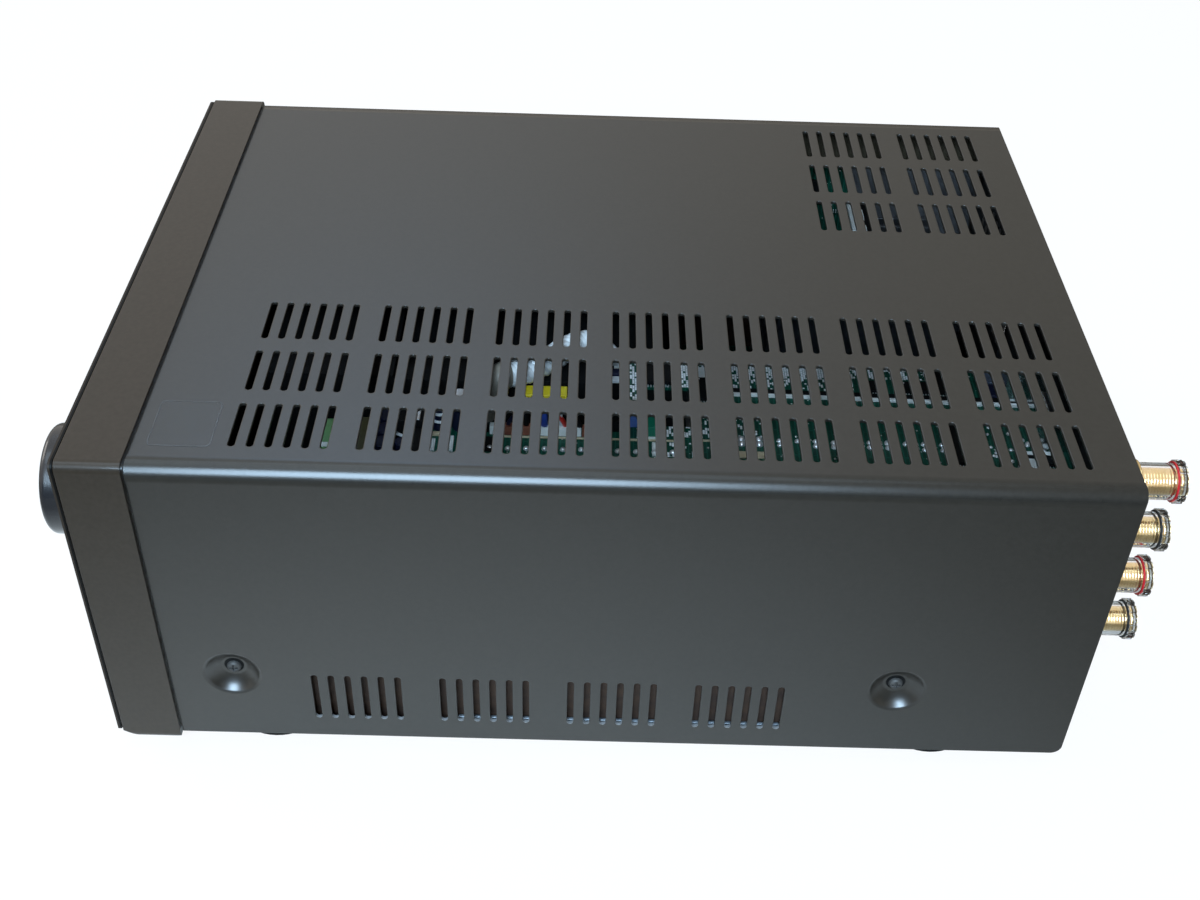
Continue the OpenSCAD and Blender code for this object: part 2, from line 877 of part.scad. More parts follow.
module pan_openings() {
    through = sheet_t + 2 * over;
    along_y(y_plate - over, through) {
        translate([loader_x, gate_z]) square([gate_w, gate_h], center = true);
        translate([cable_x, cable_z]) square([cable_gate_w, cable_gate_h], center = true);
    }
    for (at = boss_at) rod_y(at, y_plate - over, screw_hole_r, through);
    for (m = [0, 1], y = dish_y)
        mirror([m, 0, 0]) translate([tab_x - sheet_t - over, y, z_base + dish_z])
            rotate([0, 90, 0]) cylinder(r = screw_hole_r, h = through);
    for (at = foot_xy) rod_z(at, z_base - over, screw_hole_r, through);
    for (i = [0 : floor_slots - 1])
        translate([floor_slot_x, sink_y1 - floor_slot_pitch * (i + 1), z_base - over])
            linear_extrude(through) stadium(floor_slot_l, floor_slot_w);
}

module rear_panel() {
    through = sheet_t + 2 * over;
    color("#3a3a3b") difference() {
        along_y(y_panel, sheet_t) bent_profile(inner_w, z_roof, inner_bend_r, z_base);
        for (x = lip_screw_x) rod_y([x, z_top - lip_h / 2], y_panel - over, screw_hole_r, through);
        for (z = posts_z) rod_y([post_x, z], y_panel - over, tail_r + tail_gap, through);
        for (at = jack_at) rod_y(at, y_panel - over, jack_ring_r + panel_fit, through);
        rod_y([aerial_x, aerial_z], y_panel - over, aerial_r + panel_fit, through);
        along_y(y_panel - over, through) {
            translate([lan_x, deck_top + lan_h / 2])
                square([lan_w + 2 * panel_fit, lan_h + 2 * panel_fit], center = true);
            translate([inlet_x, inlet_z])
                square([inlet_w + 2 * panel_fit, inlet_h + 2 * panel_fit], center = true);
            for (i = [0 : rear_slots - 1])
                translate([rear_slot_x + rear_slot_pitch * i, rear_slot_z])
                    rotate(90) stadium(rear_slot_l, rear_slot_w);
        }
    }
}

module feet() {
    color("#1d1d1e") for (at = foot_xy)
        difference() {
            union() {
                rod_z(at, pad_t, foot_r - foot_step, foot_step);
                rod_z(at, pad_t + foot_step, foot_r, foot_h - pad_t - foot_step);
            }
            rod_z(at, pad_t - over, foot_recess_r, foot_h - pad_t - foot_floor_t + over);
            rod_z(at, pad_t, screw_hole_r, foot_h);
        }
}

module foot_pads() {
    color("#3d3d3f") for (at = foot_xy)
        difference() {
            rod_z(at, 0, foot_r - pad_inset, pad_t);
            rod_z(at, -over, foot_recess_r, pad_t + 2 * over);
        }
}

module foot_screws() {
    color("#8f9296") for (at = foot_xy)
        translate([at[0], at[1], foot_h - foot_floor_t]) rotate([180, 0, 0]) screw(screw_l);
}

// Front

module front_outline(inset) {
    translate([0, (bezel_top + bezel_bottom) / 2])
        rounded(bezel_w - 2 * inset, bezel_h - 2 * inset, bezel_edge_r);
}

// Holes that the fascia and the bezel share
module front_openings() {
    translate(door_at) square([door_w + 4 * front_fit, door_h + 4 * front_fit], center = true);
    translate(lens_at) rounded(lens_w + 2 * front_fit, lens_h + 2 * front_fit, lens_r);
    for (at = concat(key_at, [source_at]))
        translate(at) stadium(key_l + 2 * front_fit, key_w + 2 * front_fit);
    translate(power_at) circle(power_r + front_fit);
    translate(knob_at) circle(bushing_r + front_fit);
    translate(phones_at) circle(phones_barrel_r + front_fit);
    translate(usb_at) square([usb_w + 2 * front_fit, usb_h + 2 * front_fit], center = true);
}

module fascia_plate() {
    color("#383532") along_y(y_fascia, fascia_t) difference() {
        intersection() {
            front_outline(groove);
            translate([-case_w, bezel_bottom + chin_h]) square([2 * case_w, bezel_h]);
        }
        front_openings();
    }
}

// Frame open at the back, with a sloping chin
module bezel_shell() {
    difference() {
        union() {
            along_y(y_bezel, 2 * groove) front_outline(2 * groove);
            along_y(y_bezel + groove, bezel_d - groove) front_outline(0);
        }
        block(
            [-bezel_w / 2 + bezel_wall, y_wall, bezel_floor_z],
            [bezel_w / 2 - bezel_wall, y_plate + over, bezel_top - bezel_wall]
        );
        along_x(-bezel_w, 2 * bezel_w) {
            polygon([
                [y_bezel - over, bezel_bottom - over],
                [y_bezel - over, bezel_bottom + chin_h + over * chin_h / chin_d],
                [y_bezel + chin_d, bezel_bottom],
                [y_bezel + chin_d, bezel_bottom - over]
            ]);
            polygon([
                [y_plate - heel_d, bezel_bottom],
                [y_plate - heel_d, bezel_bottom - over],
                [y_plate + over, bezel_bottom - over],
                [y_plate + over, bezel_bottom + heel_h + over * heel_h / heel_d]
            ]);
        }
    }
}

module front_bezel() {
    color("#413d39") difference() {
        union() {
            bezel_shell();
            for (at = boss_at) rod_y(at, y_wall - eps, boss_r, y_plate - y_wall + eps);
            for (at = board_posts) rod_y(at, y_wall - eps, board_post_r, y_board - y_wall + eps);
            block(
                [usb_at[0] - usb_w / 2, y_wall - eps, usb_at[1] - usb_h / 2 - usb_seat_t],
                [usb_at[0] + usb_w / 2, y_wall + usb_seat_l, usb_at[1] - usb_h / 2]
            );
        }
        along_y(y_bezel - over, bezel_wall + over + eps) front_openings();
        for (at = boss_at) rod_y(at, y_plate - screw_l, screw_hole_r, screw_l + over);
    }
}

module bezel_screws() {
    color("#8f9296") for (at = boss_at)
        translate([at[0], y_plate + sheet_t, at[1]]) rotate([-90, 0, 0]) screw(screw_l - over);
}

module volume_knob() {
    h = knob_out - knob_gap;
    color("#0b0b0c") translate([knob_at[0], y_fascia - knob_gap, knob_at[1]]) rotate([90, 0, 0])
        difference() {
            rotate_extrude() {
                square([knob_r - knob_edge_r, h]);
                square([knob_r, h - knob_edge_r]);
                translate([knob_r - knob_edge_r, h - knob_edge_r]) circle(knob_edge_r);
            }
            difference() {
                translate([0, 0, -over]) cylinder(r = knob_r - knob_wall, h = h - knob_face_t + over);
                translate([0, 0, -2 * over]) cylinder(r = knob_hub_r, h = h);
            }
            translate([0, 0, -over])
                cylinder(r = shaft_r + running_fit / 2, h = h - knob_bore_face_t + over);
            translate([0, knob_r - knob_edge_r - knob_mark[1] / 2, h]) cube(knob_mark, center = true);
        }
}

module encoder_shaft() {
    front = y_fascia - knob_out + knob_face_t;
    back = y_board - encoder_back_t - shaft_end_gap;
    color("#b9bcc0") rod_y(knob_at, front, shaft_r, back - front);
}

module volume_encoder() {
    body_y = y_wall + encoder_gap;
    color("#7d8286") difference() {
        union() {
            along_y(body_y, y_board - body_y) translate(knob_at) square(encoder_side, center = true);
            rod_y(knob_at, y_fascia + encoder_gap, bushing_r, body_y - y_fascia);
        }
        rod_y(knob_at, y_fascia, shaft_r + running_fit, y_board - encoder_back_t - y_fascia);
    }
}

module display_lens() {
    color([0.06, 0.07, 0.08, 0.6]) {
        along_y(y_fascia + lens_inset, y_wall - y_fascia - lens_inset + eps)
            translate(lens_at) rounded(lens_w, lens_h, lens_r);
        along_y(y_wall, lens_rim_t)
            translate(lens_at) square([lens_w + 2 * lens_rim, lens_h + 2 * lens_rim], center = true);
    }
}

module display_module() {
    front = y_wall + lens_rim_t + module_gap;
    color("#1b2a2e") along_y(front, y_board - front)
        translate(lens_at) square([lens_w - 2 * module_side, lens_h - 2 * module_edge], center = true);
}

// Control board with its soldered key switches
module front_board() {
    color("#1f5a3a") {
        along_y(y_board, pcb_t) {
            translate([board_x0, board_z0]) square([board_x1 - board_x0, board_z1 - board_z0]);
            translate([column_x - board_step_w, board_step_z])
                square([board_x1 - column_x, board_z1 - board_step_z]);
        }
        for (at = concat(key_at, [source_at, power_at]))
            along_y(y_board - switch_t, switch_t + eps) translate(at) square(switch_w, center = true);
    }
}

// Key cap through the fascia, with a retaining rim and a stem towards its switch
module key(at, round_key) {
    rim_y = y_wall + flange_gap;
    along_y(y_fascia - key_proud, rim_y - y_fascia + key_proud + eps)
        translate(at) key_outline(round_key, 0);
    along_y(rim_y, key_rim_t) translate(at) key_outline(round_key, key_rim);
    rod_y(at, rim_y, key_stem_r, y_board - switch_t - key_travel - key_slack - rim_y);
}

module key_outline(round_key, grow) {
    if (round_key) circle(power_r + grow);
    else stadium(key_l + 2 * grow, key_w + 2 * grow);
}

module power_button() { color("#161617") key(power_at, true); }
module eject_button() { color("#161617") key(key_at[0], false); }
module stop_button() { color("#161617") key(key_at[1], false); }
module previous_button() { color("#161617") key(key_at[2], false); }
module play_button() { color("#161617") key(key_at[3], false); }
module next_button() { color("#161617") key(key_at[4], false); }
module source_button() { color("#161617") key(source_at, false); }

module phones_jack() {
    color("#202022") difference() {
        union() {
            rod_y(phones_at, y_fascia, phones_barrel_r, y_wall - y_fascia + eps);
            along_y(y_wall, phones_l - (y_wall - y_fascia))
                translate(phones_at) square(phones_box, center = true);
        }
        rod_y(phones_at, y_fascia - over, phones_r, phones_depth + over);
    }
}

module usb_socket() {
    front = y_fascia + usb_inset;
    color("#c4c7ca") {
        along_y(front, usb_l) translate(usb_at) difference() {
            square([usb_w, usb_h], center = true);
            square([usb_w - 2 * usb_shell_t, usb_h - 2 * usb_shell_t], center = true);
        }
        along_y(front + usb_l - usb_back_t, usb_back_t)
            translate(usb_at) square([usb_w, usb_h], center = true);
        along_y(front + usb_tongue_in, usb_l - usb_tongue_in - usb_back_t + eps)
            translate(usb_at + [0, usb_tongue_z]) square(usb_tongue, center = true);
    }
}

// Disc loader

// Side wall with the rails under and over the tray's edge
module loader_side() {
    reach = tray_w / 2 - guide_reach;
    top_rail_z = tray_z + tray_h + tray_fit;
    translate([guide_x, loader_z0]) square([loader_wall, loader_z1 - loader_z0]);
    translate([reach, tray_z - tray_fit - guide_t]) square([guide_reach + loader_wall, guide_t]);
    translate([reach, top_rail_z]) square([guide_reach + loader_wall, loader_z1 - top_rail_z]);
}

module loader_frame() {
    pit_x = plate_w / 2 - 2 * damper_inset;
    color("#26262a") difference() {
        union() {
            block(
                [loader_x - guide_x - loader_wall, loader_y0, loader_z0],
                [loader_x + guide_x + loader_wall, loader_y1, loader_z0 + loader_floor_t]
            );
            for (m = [0, 1])
                along_y(loader_y0, loader_y1 - loader_y0)
                    translate([loader_x, 0]) mirror([m, 0]) loader_side();
            block(
                [loader_x - guide_x, loader_y1 - loader_floor_t, loader_z0],
                [loader_x + guide_x, loader_y1, tray_z - tray_fit]
            );
            rod_z([gear_x, gear_y], loader_z0, pin_r, gear_z + gear_t - loader_z0);
            rod_z([gear_x, gear_y], loader_z0, pin_collar_r, pulley_z - pin_collar_gap - loader_z0);
        }
        block(
            [loader_x - pit_x, disc_y - motor_r - over, loader_z0 - over],
            [loader_x + pit_x, plate_y1 - 2 * damper_inset, loader_z0 + loader_floor_t + over]
        );
        rod_z([load_motor_x, gear_y], loader_z0 - over, load_shaft_hole_r, loader_floor_t + 2 * over);
    }
}

module rack_teeth() {
    for (i = [-rack_lead : ceil((tray_y1 - gear_y) / tooth_pitch) - 1])
        translate([rack_x, gear_y + (i + 0.5) * tooth_pitch])
            polygon([
                [1.25 * gear_m, -tooth_root], [1.25 * gear_m, tooth_root],
                [-0.95 * gear_m, tooth_tip], [-0.95 * gear_m, -tooth_tip]
            ]);
}

module disc_tray() {
    lo_x = loader_x - tray_w / 2;
    color("#1a1a1c") {
        difference() {
            block([lo_x, tray_y0, tray_z], [lo_x + tray_w, tray_y1, tray_z + tray_h]);
            rod_z([loader_x, disc_y], tray_z + tray_floor_t, well_r, tray_h);
            rod_z([loader_x, disc_y], tray_z + tray_floor_t - well_step, well_small_r, tray_h);
            rod_z([loader_x, disc_y], tray_z - over, tray_slot_w / 2, tray_h + 2 * over);
            block(
                [loader_x - tray_slot_w / 2, disc_y, tray_z - over],
                [loader_x + tray_slot_w / 2, tray_y1 + over, tray_z + tray_h + over]
            );
        }
        translate([0, 0, tray_z - rack_t]) linear_extrude(rack_t + eps) {
            intersection() {
                union() {
                    rack_teeth();
                    translate([rack_x + 1.2 * gear_m, gear_y - rack_lead * tooth_pitch])
                        square([rack_back, tray_y1 - gear_y + rack_lead * tooth_pitch]);
                }
                translate([rack_x - 2 * gear_m, tray_y0 + over])
                    square([rack_back + 4 * gear_m, tray_l - over]);
            }
        }
    }
}

module tray_door() {
    color("#2b2927") along_y(y_fascia, door_t)
        translate(door_at) square([door_w, door_h], center = true);
}

module clamp_bridge() {
    color("#9ea2a6") difference() {
        block(
            [loader_x - guide_x - loader_wall, disc_y - bridge_l / 2, loader_z1],
            [loader_x + guide_x + loader_wall, disc_y + bridge_l / 2, loader_z1 + bridge_t]
        );
        rod_z([loader_x, disc_y], loader_z1 - over, bridge_hole_r, bridge_t + 2 * over);
    }
}

// Magnetic puck that hangs in the bridge's hole
module disc_clamper() {
    at = [loader_x, disc_y];
    cap_z = loader_z1 + bridge_t + clamper_lift;
    color("#d8d8d4") difference() {
        union() {
            rod_z(at, clamper_z, clamper_r, clamper_t);
            rod_z(at, clamper_z, bridge_hole_r - neck_fit, cap_z + eps - clamper_z);
            rod_z(at, cap_z, clamper_cap_r, clamper_cap_t);
        }
        rod_z(at, clamper_z - over, clamper_bore_r, clamper_bore_t + over);
    }
}

module traverse_plate() {
    front_block_y = sled_y0 - rod_block_gap - rod_block_t;
    back_block_y = sled_y0 + sled_l + sled_travel + rod_block_gap;
    color("#8b8f94") difference() {
        union() {
            block(
                [loader_x - plate_w / 2, plate_y0, plate_z],
                [loader_x + plate_w / 2, plate_y1, plate_z + plate_t]
            );
            for (s = [-1, 1], y = [front_block_y, back_block_y])
                block(
                    [loader_x + s * rod_x - rod_block_w / 2, y, plate_z],
                    [loader_x + s * rod_x + rod_block_w / 2, y + rod_block_t, rod_z + rod_block_w / 2]
                );
        }
        rod_z([loader_x, disc_y], plate_z - over, plate_hole_r, plate_t + 2 * over);
        for (s = [-1, 1])
            rod_y([loader_x + s * rod_x, rod_z], plate_y0, rod_r + running_fit, plate_y1 - plate_y0);
    }
}

module guide_rods() {
    l = sled_l + sled_travel + 2 * (rod_block_gap + rod_block_t);
    color("#d5d8db") for (s = [-1, 1])
        rod_y([loader_x + s * rod_x, rod_z], sled_y0 - rod_block_gap - rod_block_t, rod_r, l);
}

module traverse_dampers() {
    z0 = loader_z0 + loader_floor_t;
    color("#232325") for (at = damper_at)
        difference() {
            rod_z(at, z0, damper_r, plate_z - z0);
            rod_z(at, z0 - over, damper_bore_r, plate_z - z0 + 2 * over);
        }
}

module spindle_motor() {
    at = [loader_x, disc_y];
    color("#b3b6b9") difference() {
        rod_z(at, plate_z - motor_h, motor_r, motor_h);
        rod_z(at, plate_z - motor_h + motor_floor_t, spindle_r + running_fit, motor_h);
    }
}

// Platter on its spindle, with the centring cone
module turntable() {
    at = [loader_x, disc_y];
    hub_z = plate_z + plate_t + over;
    color("#1c1c1e") {
        rod_z(at, plate_z - spindle_in, spindle_r, platter_z - plate_z + spindle_in - eps);
        rod_z(at, hub_z, platter_hub_r, platter_z - hub_z - eps);
        rod_z(at, platter_z - platter_t, platter_r, platter_t);
        rod_z(at, platter_z - eps, cone_r, disc_t - cone_h / 2 + eps);
        translate([at[0], at[1], platter_z + disc_t - cone_h / 2])
            cylinder(r1 = cone_r, r2 = cone_top_r, h = cone_h);
    }
}

module pickup_sled() {
    color("#33363a") difference() {
        union() {
            block(
                [loader_x - sled_w / 2, sled_y0, sled_z0],
                [loader_x + sled_w / 2, sled_y0 + sled_l, sled_z1]
            );
            rod_z([loader_x, turret_y], sled_z1 - eps, turret_r, turret_h + eps);
        }
        for (s = [-1, 1])
            rod_y(
                [loader_x + s * rod_x, rod_z], sled_y0 - over, rod_r + running_fit, sled_l + 2 * over
            );
        rod_z([loader_x, turret_y], sled_z1 + turret_h - pickup_lens_t, pickup_lens_r, 2 * pickup_lens_t);
    }
}

// Tray drive

module gear_outline() {
    circle(gear_r - 1.25 * gear_m);
    for (i = [0 : gear_teeth - 1])
        rotate(i * 360 / gear_teeth) translate([gear_r, 0])
            polygon([
                [-1.6 * gear_m, -tooth_root], [0.9 * gear_m, -tooth_tip],
                [0.9 * gear_m, tooth_tip], [-1.6 * gear_m, tooth_root]
            ]);
}

// Grooved belt pulley standing on z0
module pulley(r) {
    cylinder(r = r + pulley_rim, h = pulley_rim_t);
    cylinder(r = r, h = pulley_h);
    translate([0, 0, pulley_h - pulley_rim_t]) cylinder(r = r + pulley_rim, h = pulley_rim_t);
}

module drive_gear() {
    at = [gear_x, gear_y];
    color("#d9d5c8") difference() {
        union() {
            translate([gear_x, gear_y, gear_z]) linear_extrude(gear_t) gear_outline();
            rod_z(at, pulley_z, gear_hub_r, gear_z - pulley_z + eps);
            translate([gear_x, gear_y, pulley_z]) pulley(drive_pulley_r);
        }
        rod_z(at, pulley_z - over, pin_r + running_fit, gear_z + gear_t - pulley_z + 2 * over);
    }
}

module loading_motor() {
    at = [load_motor_x, gear_y];
    color("#b3b6b9") difference() {
        rod_z(at, loader_z0 - load_motor_h, load_motor_r, load_motor_h);
        rod_z(
            at, loader_z0 - load_shaft_in - shaft_end_gap, load_shaft_r + running_fit,
            load_shaft_in + shaft_end_gap + over
        );
    }
}

module motor_pulley() {
    color("#d8d8d4") {
        translate([load_motor_x, gear_y, pulley_z]) pulley(motor_pulley_r);
        rod_z(
            [load_motor_x, gear_y], loader_z0 - load_shaft_in, load_shaft_r,
            pulley_z + pulley_h - loader_z0 + load_shaft_in - eps
        );
    }
}

// Points on an arc about a centre, in equal steps
function arc(centre, r, from, to, steps) = [
    for (i = [0 : steps])
        let (a = from + (to - from) * i / steps)
            centre + r * [cos(a), sin(a)]
];

// Outline round both pulleys at a distance from their grooves
module belt_outline(out) {
    span = gear_x - load_motor_x;
    lean = acos((drive_pulley_r - motor_pulley_r) / span);
    wrap = 180 - lean;
    polygon(concat(
        arc([span, 0], drive_pulley_r + out, -wrap, wrap, 32),
        arc([0, 0], motor_pulley_r + out, wrap, 360 - wrap, 24)
    ));
}

module drive_belt() {
    color("#141415") translate([load_motor_x, gear_y, belt_z]) linear_extrude(belt_t) difference() {
        belt_outline(belt_fit + belt_t);
        belt_outline(belt_fit);
    }
}

// Electronics

module amp_board() {
    color("#2f6b3c") difference() {
        union() {
            block([amp_x0, amp_y0, amp_z], [amp_x1, amp_y1, amp_top]);
            block([-amp_x1, amp_step_y, amp_z], [amp_x1, amp_y1, amp_top]);
        }
        for (at = stud_at) rod_z(at, amp_z - over, stud_r + stud_gap, pcb_t + 2 * over);
    }
}

module filter_capacitors() {
    color("#2a2d3a") for (at = can_at) rod_z(at, amp_top, can_r, can_h);
}

module heatsink() {
    step = (sink_w - fin_t) / (sink_fins - 1);
    color("#6c7073") translate([sink_x0, sink_y1 - sink_l, amp_top]) linear_extrude(sink_h) {
        translate([0, (sink_l - sink_base_t) / 2]) square([sink_w, sink_base_t]);
        for (i = [0 : sink_fins - 1]) translate([i * step, 0]) square([fin_t, sink_l]);
    }
}

module transformer_core() {
    color("#55585c") translate([core_at[0], core_at[1] + core_l / 2, z_floor]) rotate([90, 0, 0])
        linear_extrude(core_l) difference() {
            translate([-core_w / 2, 0]) square([core_w, core_h]);
            for (s = [-1, 1])
                translate([s * core_w / 4, core_h / 2])
                    square([core_w / 2 - 2 * core_leg, core_h - 2 * core_leg], center = true);
        }
}

module transformer_coil() {
    window_h = core_h - 2 * core_leg - 2 * coil_fit;
    color("#d9a81f") translate([core_at[0], core_at[1], z_floor + core_leg + coil_fit])
        linear_extrude(window_h) difference() {
            rounded(core_w - 2 * (core_leg + coil_fit), core_l + 2 * coil_wall, coil_corner_r);
            square([2 * (core_leg + coil_fit), core_l + 2 * coil_fit], center = true);
        }
}

// Steel shelf that carries the upper boards, with legs to the pan and a flange to the rear panel
module deck_shelf() {
    color("#a9adb0") difference() {
        union() {
            block([shelf_x0, shelf_y0, shelf_z], [shelf_x1, y_panel, shelf_top]);
            block([shelf_wing_x, shelf_wing_y, shelf_z], [shelf_x1, y_panel, shelf_top]);
            block(
                [shelf_wing_x, y_panel - sheet_t, shelf_z - shelf_flange_h],
                [shelf_wing_x + shelf_flange_w, y_panel, shelf_top]
            );
            for (x = [shelf_x0 + shelf_foot_in, shelf_x1 - shelf_foot_in - shelf_foot_w])
                block([x, shelf_y0, z_floor], [x + shelf_foot_w, shelf_y0 + sheet_t, shelf_top]);
            for (y = shelf_side_feet_y)
                block([shelf_x1 - sheet_t, y, z_floor], [shelf_x1, y + shelf_foot_w, shelf_top]);
            for (at = deck_spacers) rod_z(at, shelf_z, spacer_r, deck_z - shelf_z);
        }
        for (y = [power_board_y0 + shelf_window : shelf_window_pitch : power_board_y1 - shelf_window_pitch])
            block(
                [shelf_x0 + shelf_window_side, y, shelf_z - over],
                [shelf_x1 - shelf_window_side, y + shelf_window, shelf_top + over]
            );
    }
}

module power_board() {
    color("#2b6b47") block([deck_x0, power_board_y0, deck_z], [deck_x1, power_board_y1, deck_top]);
}

module network_board() {
    color("#1f6a4c") block([network_x0, network_y0, deck_z], [deck_x1, network_y1, deck_top]);
}

// Flat cable from the control board through the front wall to the amplifier board
module ribbon_cable() {
    y0 = y_board + pcb_t;
    color("#c9ccd0") along_x(cable_x - cable_w / 2, cable_w)
        polygon([
            [y0, cable_z], [y0, cable_z + cable_t], [cable_drop_y, cable_z + cable_t],
            [cable_drop_y, amp_top], [cable_drop_y - cable_t, amp_top], [cable_drop_y - cable_t, cable_z]
        ]);
}

// Rear connectors

module terminal_block() {
    top = posts_z[0] + block_margin;
    low = posts_z[3] - block_margin;
    color("#1b1b1c") difference() {
        block([post_x - block_w / 2, y_out, low], [post_x + block_w / 2, y_out + block_t, top]);
        for (z = posts_z) rod_y([post_x, z], y_out - over, tail_r + running_fit, block_t + 2 * over);
    }
}

module speaker_posts() {
    post_end = post_y1 - post_inset_y;
    color("#d6b25a") for (z = posts_z)
        difference() {
            union() {
                rod_y([post_x, z], y_panel - tail_l, tail_r, tail_l + sheet_t + block_t + eps);
                rod_y([post_x, z], y_out + block_t, collar_r, collar_l);
                rod_y([post_x, z], y_out + block_t, post_r, post_end - y_out - block_t);
            }
            rod_y([post_x, z], post_end - banana_depth, banana_r, banana_depth + over);
        }
}

// Clear screw cap with a ribbed flange
module speaker_cap(z) {
    difference() {
        union() {
            rod_y([post_x, z], cap_y0, cap_body_r, post_y1 - cap_y0);
            rod_y([post_x, z], post_y1 - cap_flange_l, cap_r, cap_flange_l);
        }
        rod_y([post_x, z], cap_y0 - over, post_r + running_fit, post_y1 - cap_y0 + 2 * over);
        for (a = [0 : rib_step : 359])
            rod_y(
                [post_x + cap_r * cos(a), z + cap_r * sin(a)],
                post_y1 - cap_flange_l - over, rib_cut_r, cap_flange_l + 2 * over
            );
    }
}

module speaker_cap_1() { color([0.9, 0.5, 0.5, 0.5]) speaker_cap(posts_z[0]); }
module speaker_cap_2() { color([0.8, 0.8, 0.8, 0.5]) speaker_cap(posts_z[1]); }
module speaker_cap_3() { color([0.9, 0.5, 0.5, 0.5]) speaker_cap(posts_z[2]); }
module speaker_cap_4() { color([0.8, 0.8, 0.8, 0.5]) speaker_cap(posts_z[3]); }

// Housing of the line sockets on the amplifier board
module line_jacks() {
    color("#1b1b1c") block(
        [jacks_x - jack_pitch, y_panel - jack_block_l, amp_top],
        [jacks_x + jack_pitch, y_panel, amp_top + jack_block_h]
    );
}

module jack_sleeves() {
    color("#c9ccd0") for (at = jack_at)
        difference() {
            union() {
                rod_y(at, y_panel, jack_ring_r, sheet_t + jack_ring_t);
                rod_y(at, y_panel, jack_r, sheet_t + jack_out);
            }
            rod_y(at, y_out + jack_out - jack_depth, jack_bore_r, jack_depth + over);
        }
}

module lan_socket() {
    y1 = y_out + socket_proud;
    color("#c9ccd0") difference() {
        block([lan_x - lan_w / 2, y1 - lan_l, deck_top], [lan_x + lan_w / 2, y1, deck_top + lan_h]);
        block(
            [lan_x - lan_mouth_w / 2, y1 - lan_mouth_d, lan_mouth_z],
            [lan_x + lan_mouth_w / 2, y1 + over, lan_mouth_z + lan_mouth_h]
        );
    }
}

module antenna_socket() {
    at = [aerial_x, aerial_z];
    color("#d2d4d6") difference() {
        union() {
            block(
                [aerial_x - aerial_box / 2, y_panel - aerial_box, deck_top],
                [aerial_x + aerial_box / 2, y_panel, deck_top + aerial_box_h]
            );
            rod_y(at, y_panel - eps, aerial_r, sheet_t + aerial_l + eps);
        }
        rod_y(at, y_out, aerial_core_r, aerial_l + over);
    }
}

module mains_inlet() {
    mouth_y = y_out + inlet_rim - inlet_mouth_d;
    color("#151516") {
        difference() {
            union() {
                along_y(y_panel - inlet_l, inlet_l + sheet_t + eps)
                    translate([inlet_x, inlet_z]) square([inlet_w, inlet_h], center = true);
                along_y(y_out, inlet_rim) translate([inlet_x, inlet_z])
                    rounded(inlet_w + 2 * inlet_flange, inlet_h + 2 * inlet_flange, inlet_flange_r);
            }
            along_y(mouth_y, inlet_mouth_d + over)
                translate([inlet_x, inlet_z])
                    stadium(2 * (inlet_pin_x + inlet_mouth_r), 2 * inlet_mouth_r);
        }
        for (s = [-1, 1])
            rod_y(
                [inlet_x + s * inlet_pin_x, inlet_z], mouth_y - over, inlet_pin_r, inlet_pin_l + over
            );
    }
}

chassis_pan();
rear_panel();
top_cover();
cover_screws();
front_bezel();
fascia_plate();
bezel_screws();
feet();
foot_pads();
foot_screws();
volume_knob();
encoder_shaft();
volume_encoder();
display_lens();
display_module();
front_board();
power_button();
eject_button();
stop_button();
previous_button();
play_button();
next_button();
source_button();
phones_jack();
usb_socket();
loader_frame();
disc_tray();
tray_door();
clamp_bridge();
disc_clamper();
traverse_plate();
traverse_dampers();
spindle_motor();
turntable();
guide_rods();
pickup_sled();
loading_motor();
motor_pulley();
drive_belt();
drive_gear();
amp_board();
filter_capacitors();
heatsink();
transformer_core();
transformer_coil();
deck_shelf();
power_board();
network_board();
ribbon_cable();
terminal_block();
speaker_posts();
speaker_cap_1();
speaker_cap_2();
speaker_cap_3();
speaker_cap_4();
line_jacks();
jack_sleeves();
lan_socket();
antenna_socket();
mains_inlet();
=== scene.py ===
import json
import math
import random

import bmesh
import bpy
from mathutils import Matrix, Vector


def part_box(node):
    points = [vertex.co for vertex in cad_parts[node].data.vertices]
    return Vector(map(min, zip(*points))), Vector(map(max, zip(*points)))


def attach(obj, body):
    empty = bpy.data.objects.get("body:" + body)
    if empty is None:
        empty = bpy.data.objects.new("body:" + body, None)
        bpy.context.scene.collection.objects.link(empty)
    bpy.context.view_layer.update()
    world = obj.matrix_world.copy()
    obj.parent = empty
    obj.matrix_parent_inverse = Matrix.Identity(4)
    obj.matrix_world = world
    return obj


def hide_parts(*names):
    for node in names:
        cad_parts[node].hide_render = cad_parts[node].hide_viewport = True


# Looks of the network CD receiver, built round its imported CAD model.
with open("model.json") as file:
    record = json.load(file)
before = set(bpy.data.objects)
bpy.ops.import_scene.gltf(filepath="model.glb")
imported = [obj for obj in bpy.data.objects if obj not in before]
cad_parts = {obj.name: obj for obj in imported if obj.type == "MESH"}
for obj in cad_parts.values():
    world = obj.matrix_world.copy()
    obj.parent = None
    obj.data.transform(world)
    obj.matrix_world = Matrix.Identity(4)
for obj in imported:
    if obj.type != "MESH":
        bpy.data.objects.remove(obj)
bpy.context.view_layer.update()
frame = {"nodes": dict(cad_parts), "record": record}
scene = bpy.context.scene
MM = 0.001


# Materials

PAINTS = {}


def link(tree, a, b):
    tree.links.new(a, b)


def add(tree, kind, **values):
    """A new shader node with its values."""
    n = tree.nodes.new("ShaderNode" + kind)
    for key, value in values.items():
        n.inputs[key].default_value = value
    return n


def put(tree, socket, value):
    """Gives a socket a number, a colour or another node's output."""
    if isinstance(value, (int, float)):
        socket.default_value = value
    elif isinstance(value, tuple):
        socket.default_value = (*value, 1)
    else:
        link(tree, value, socket)


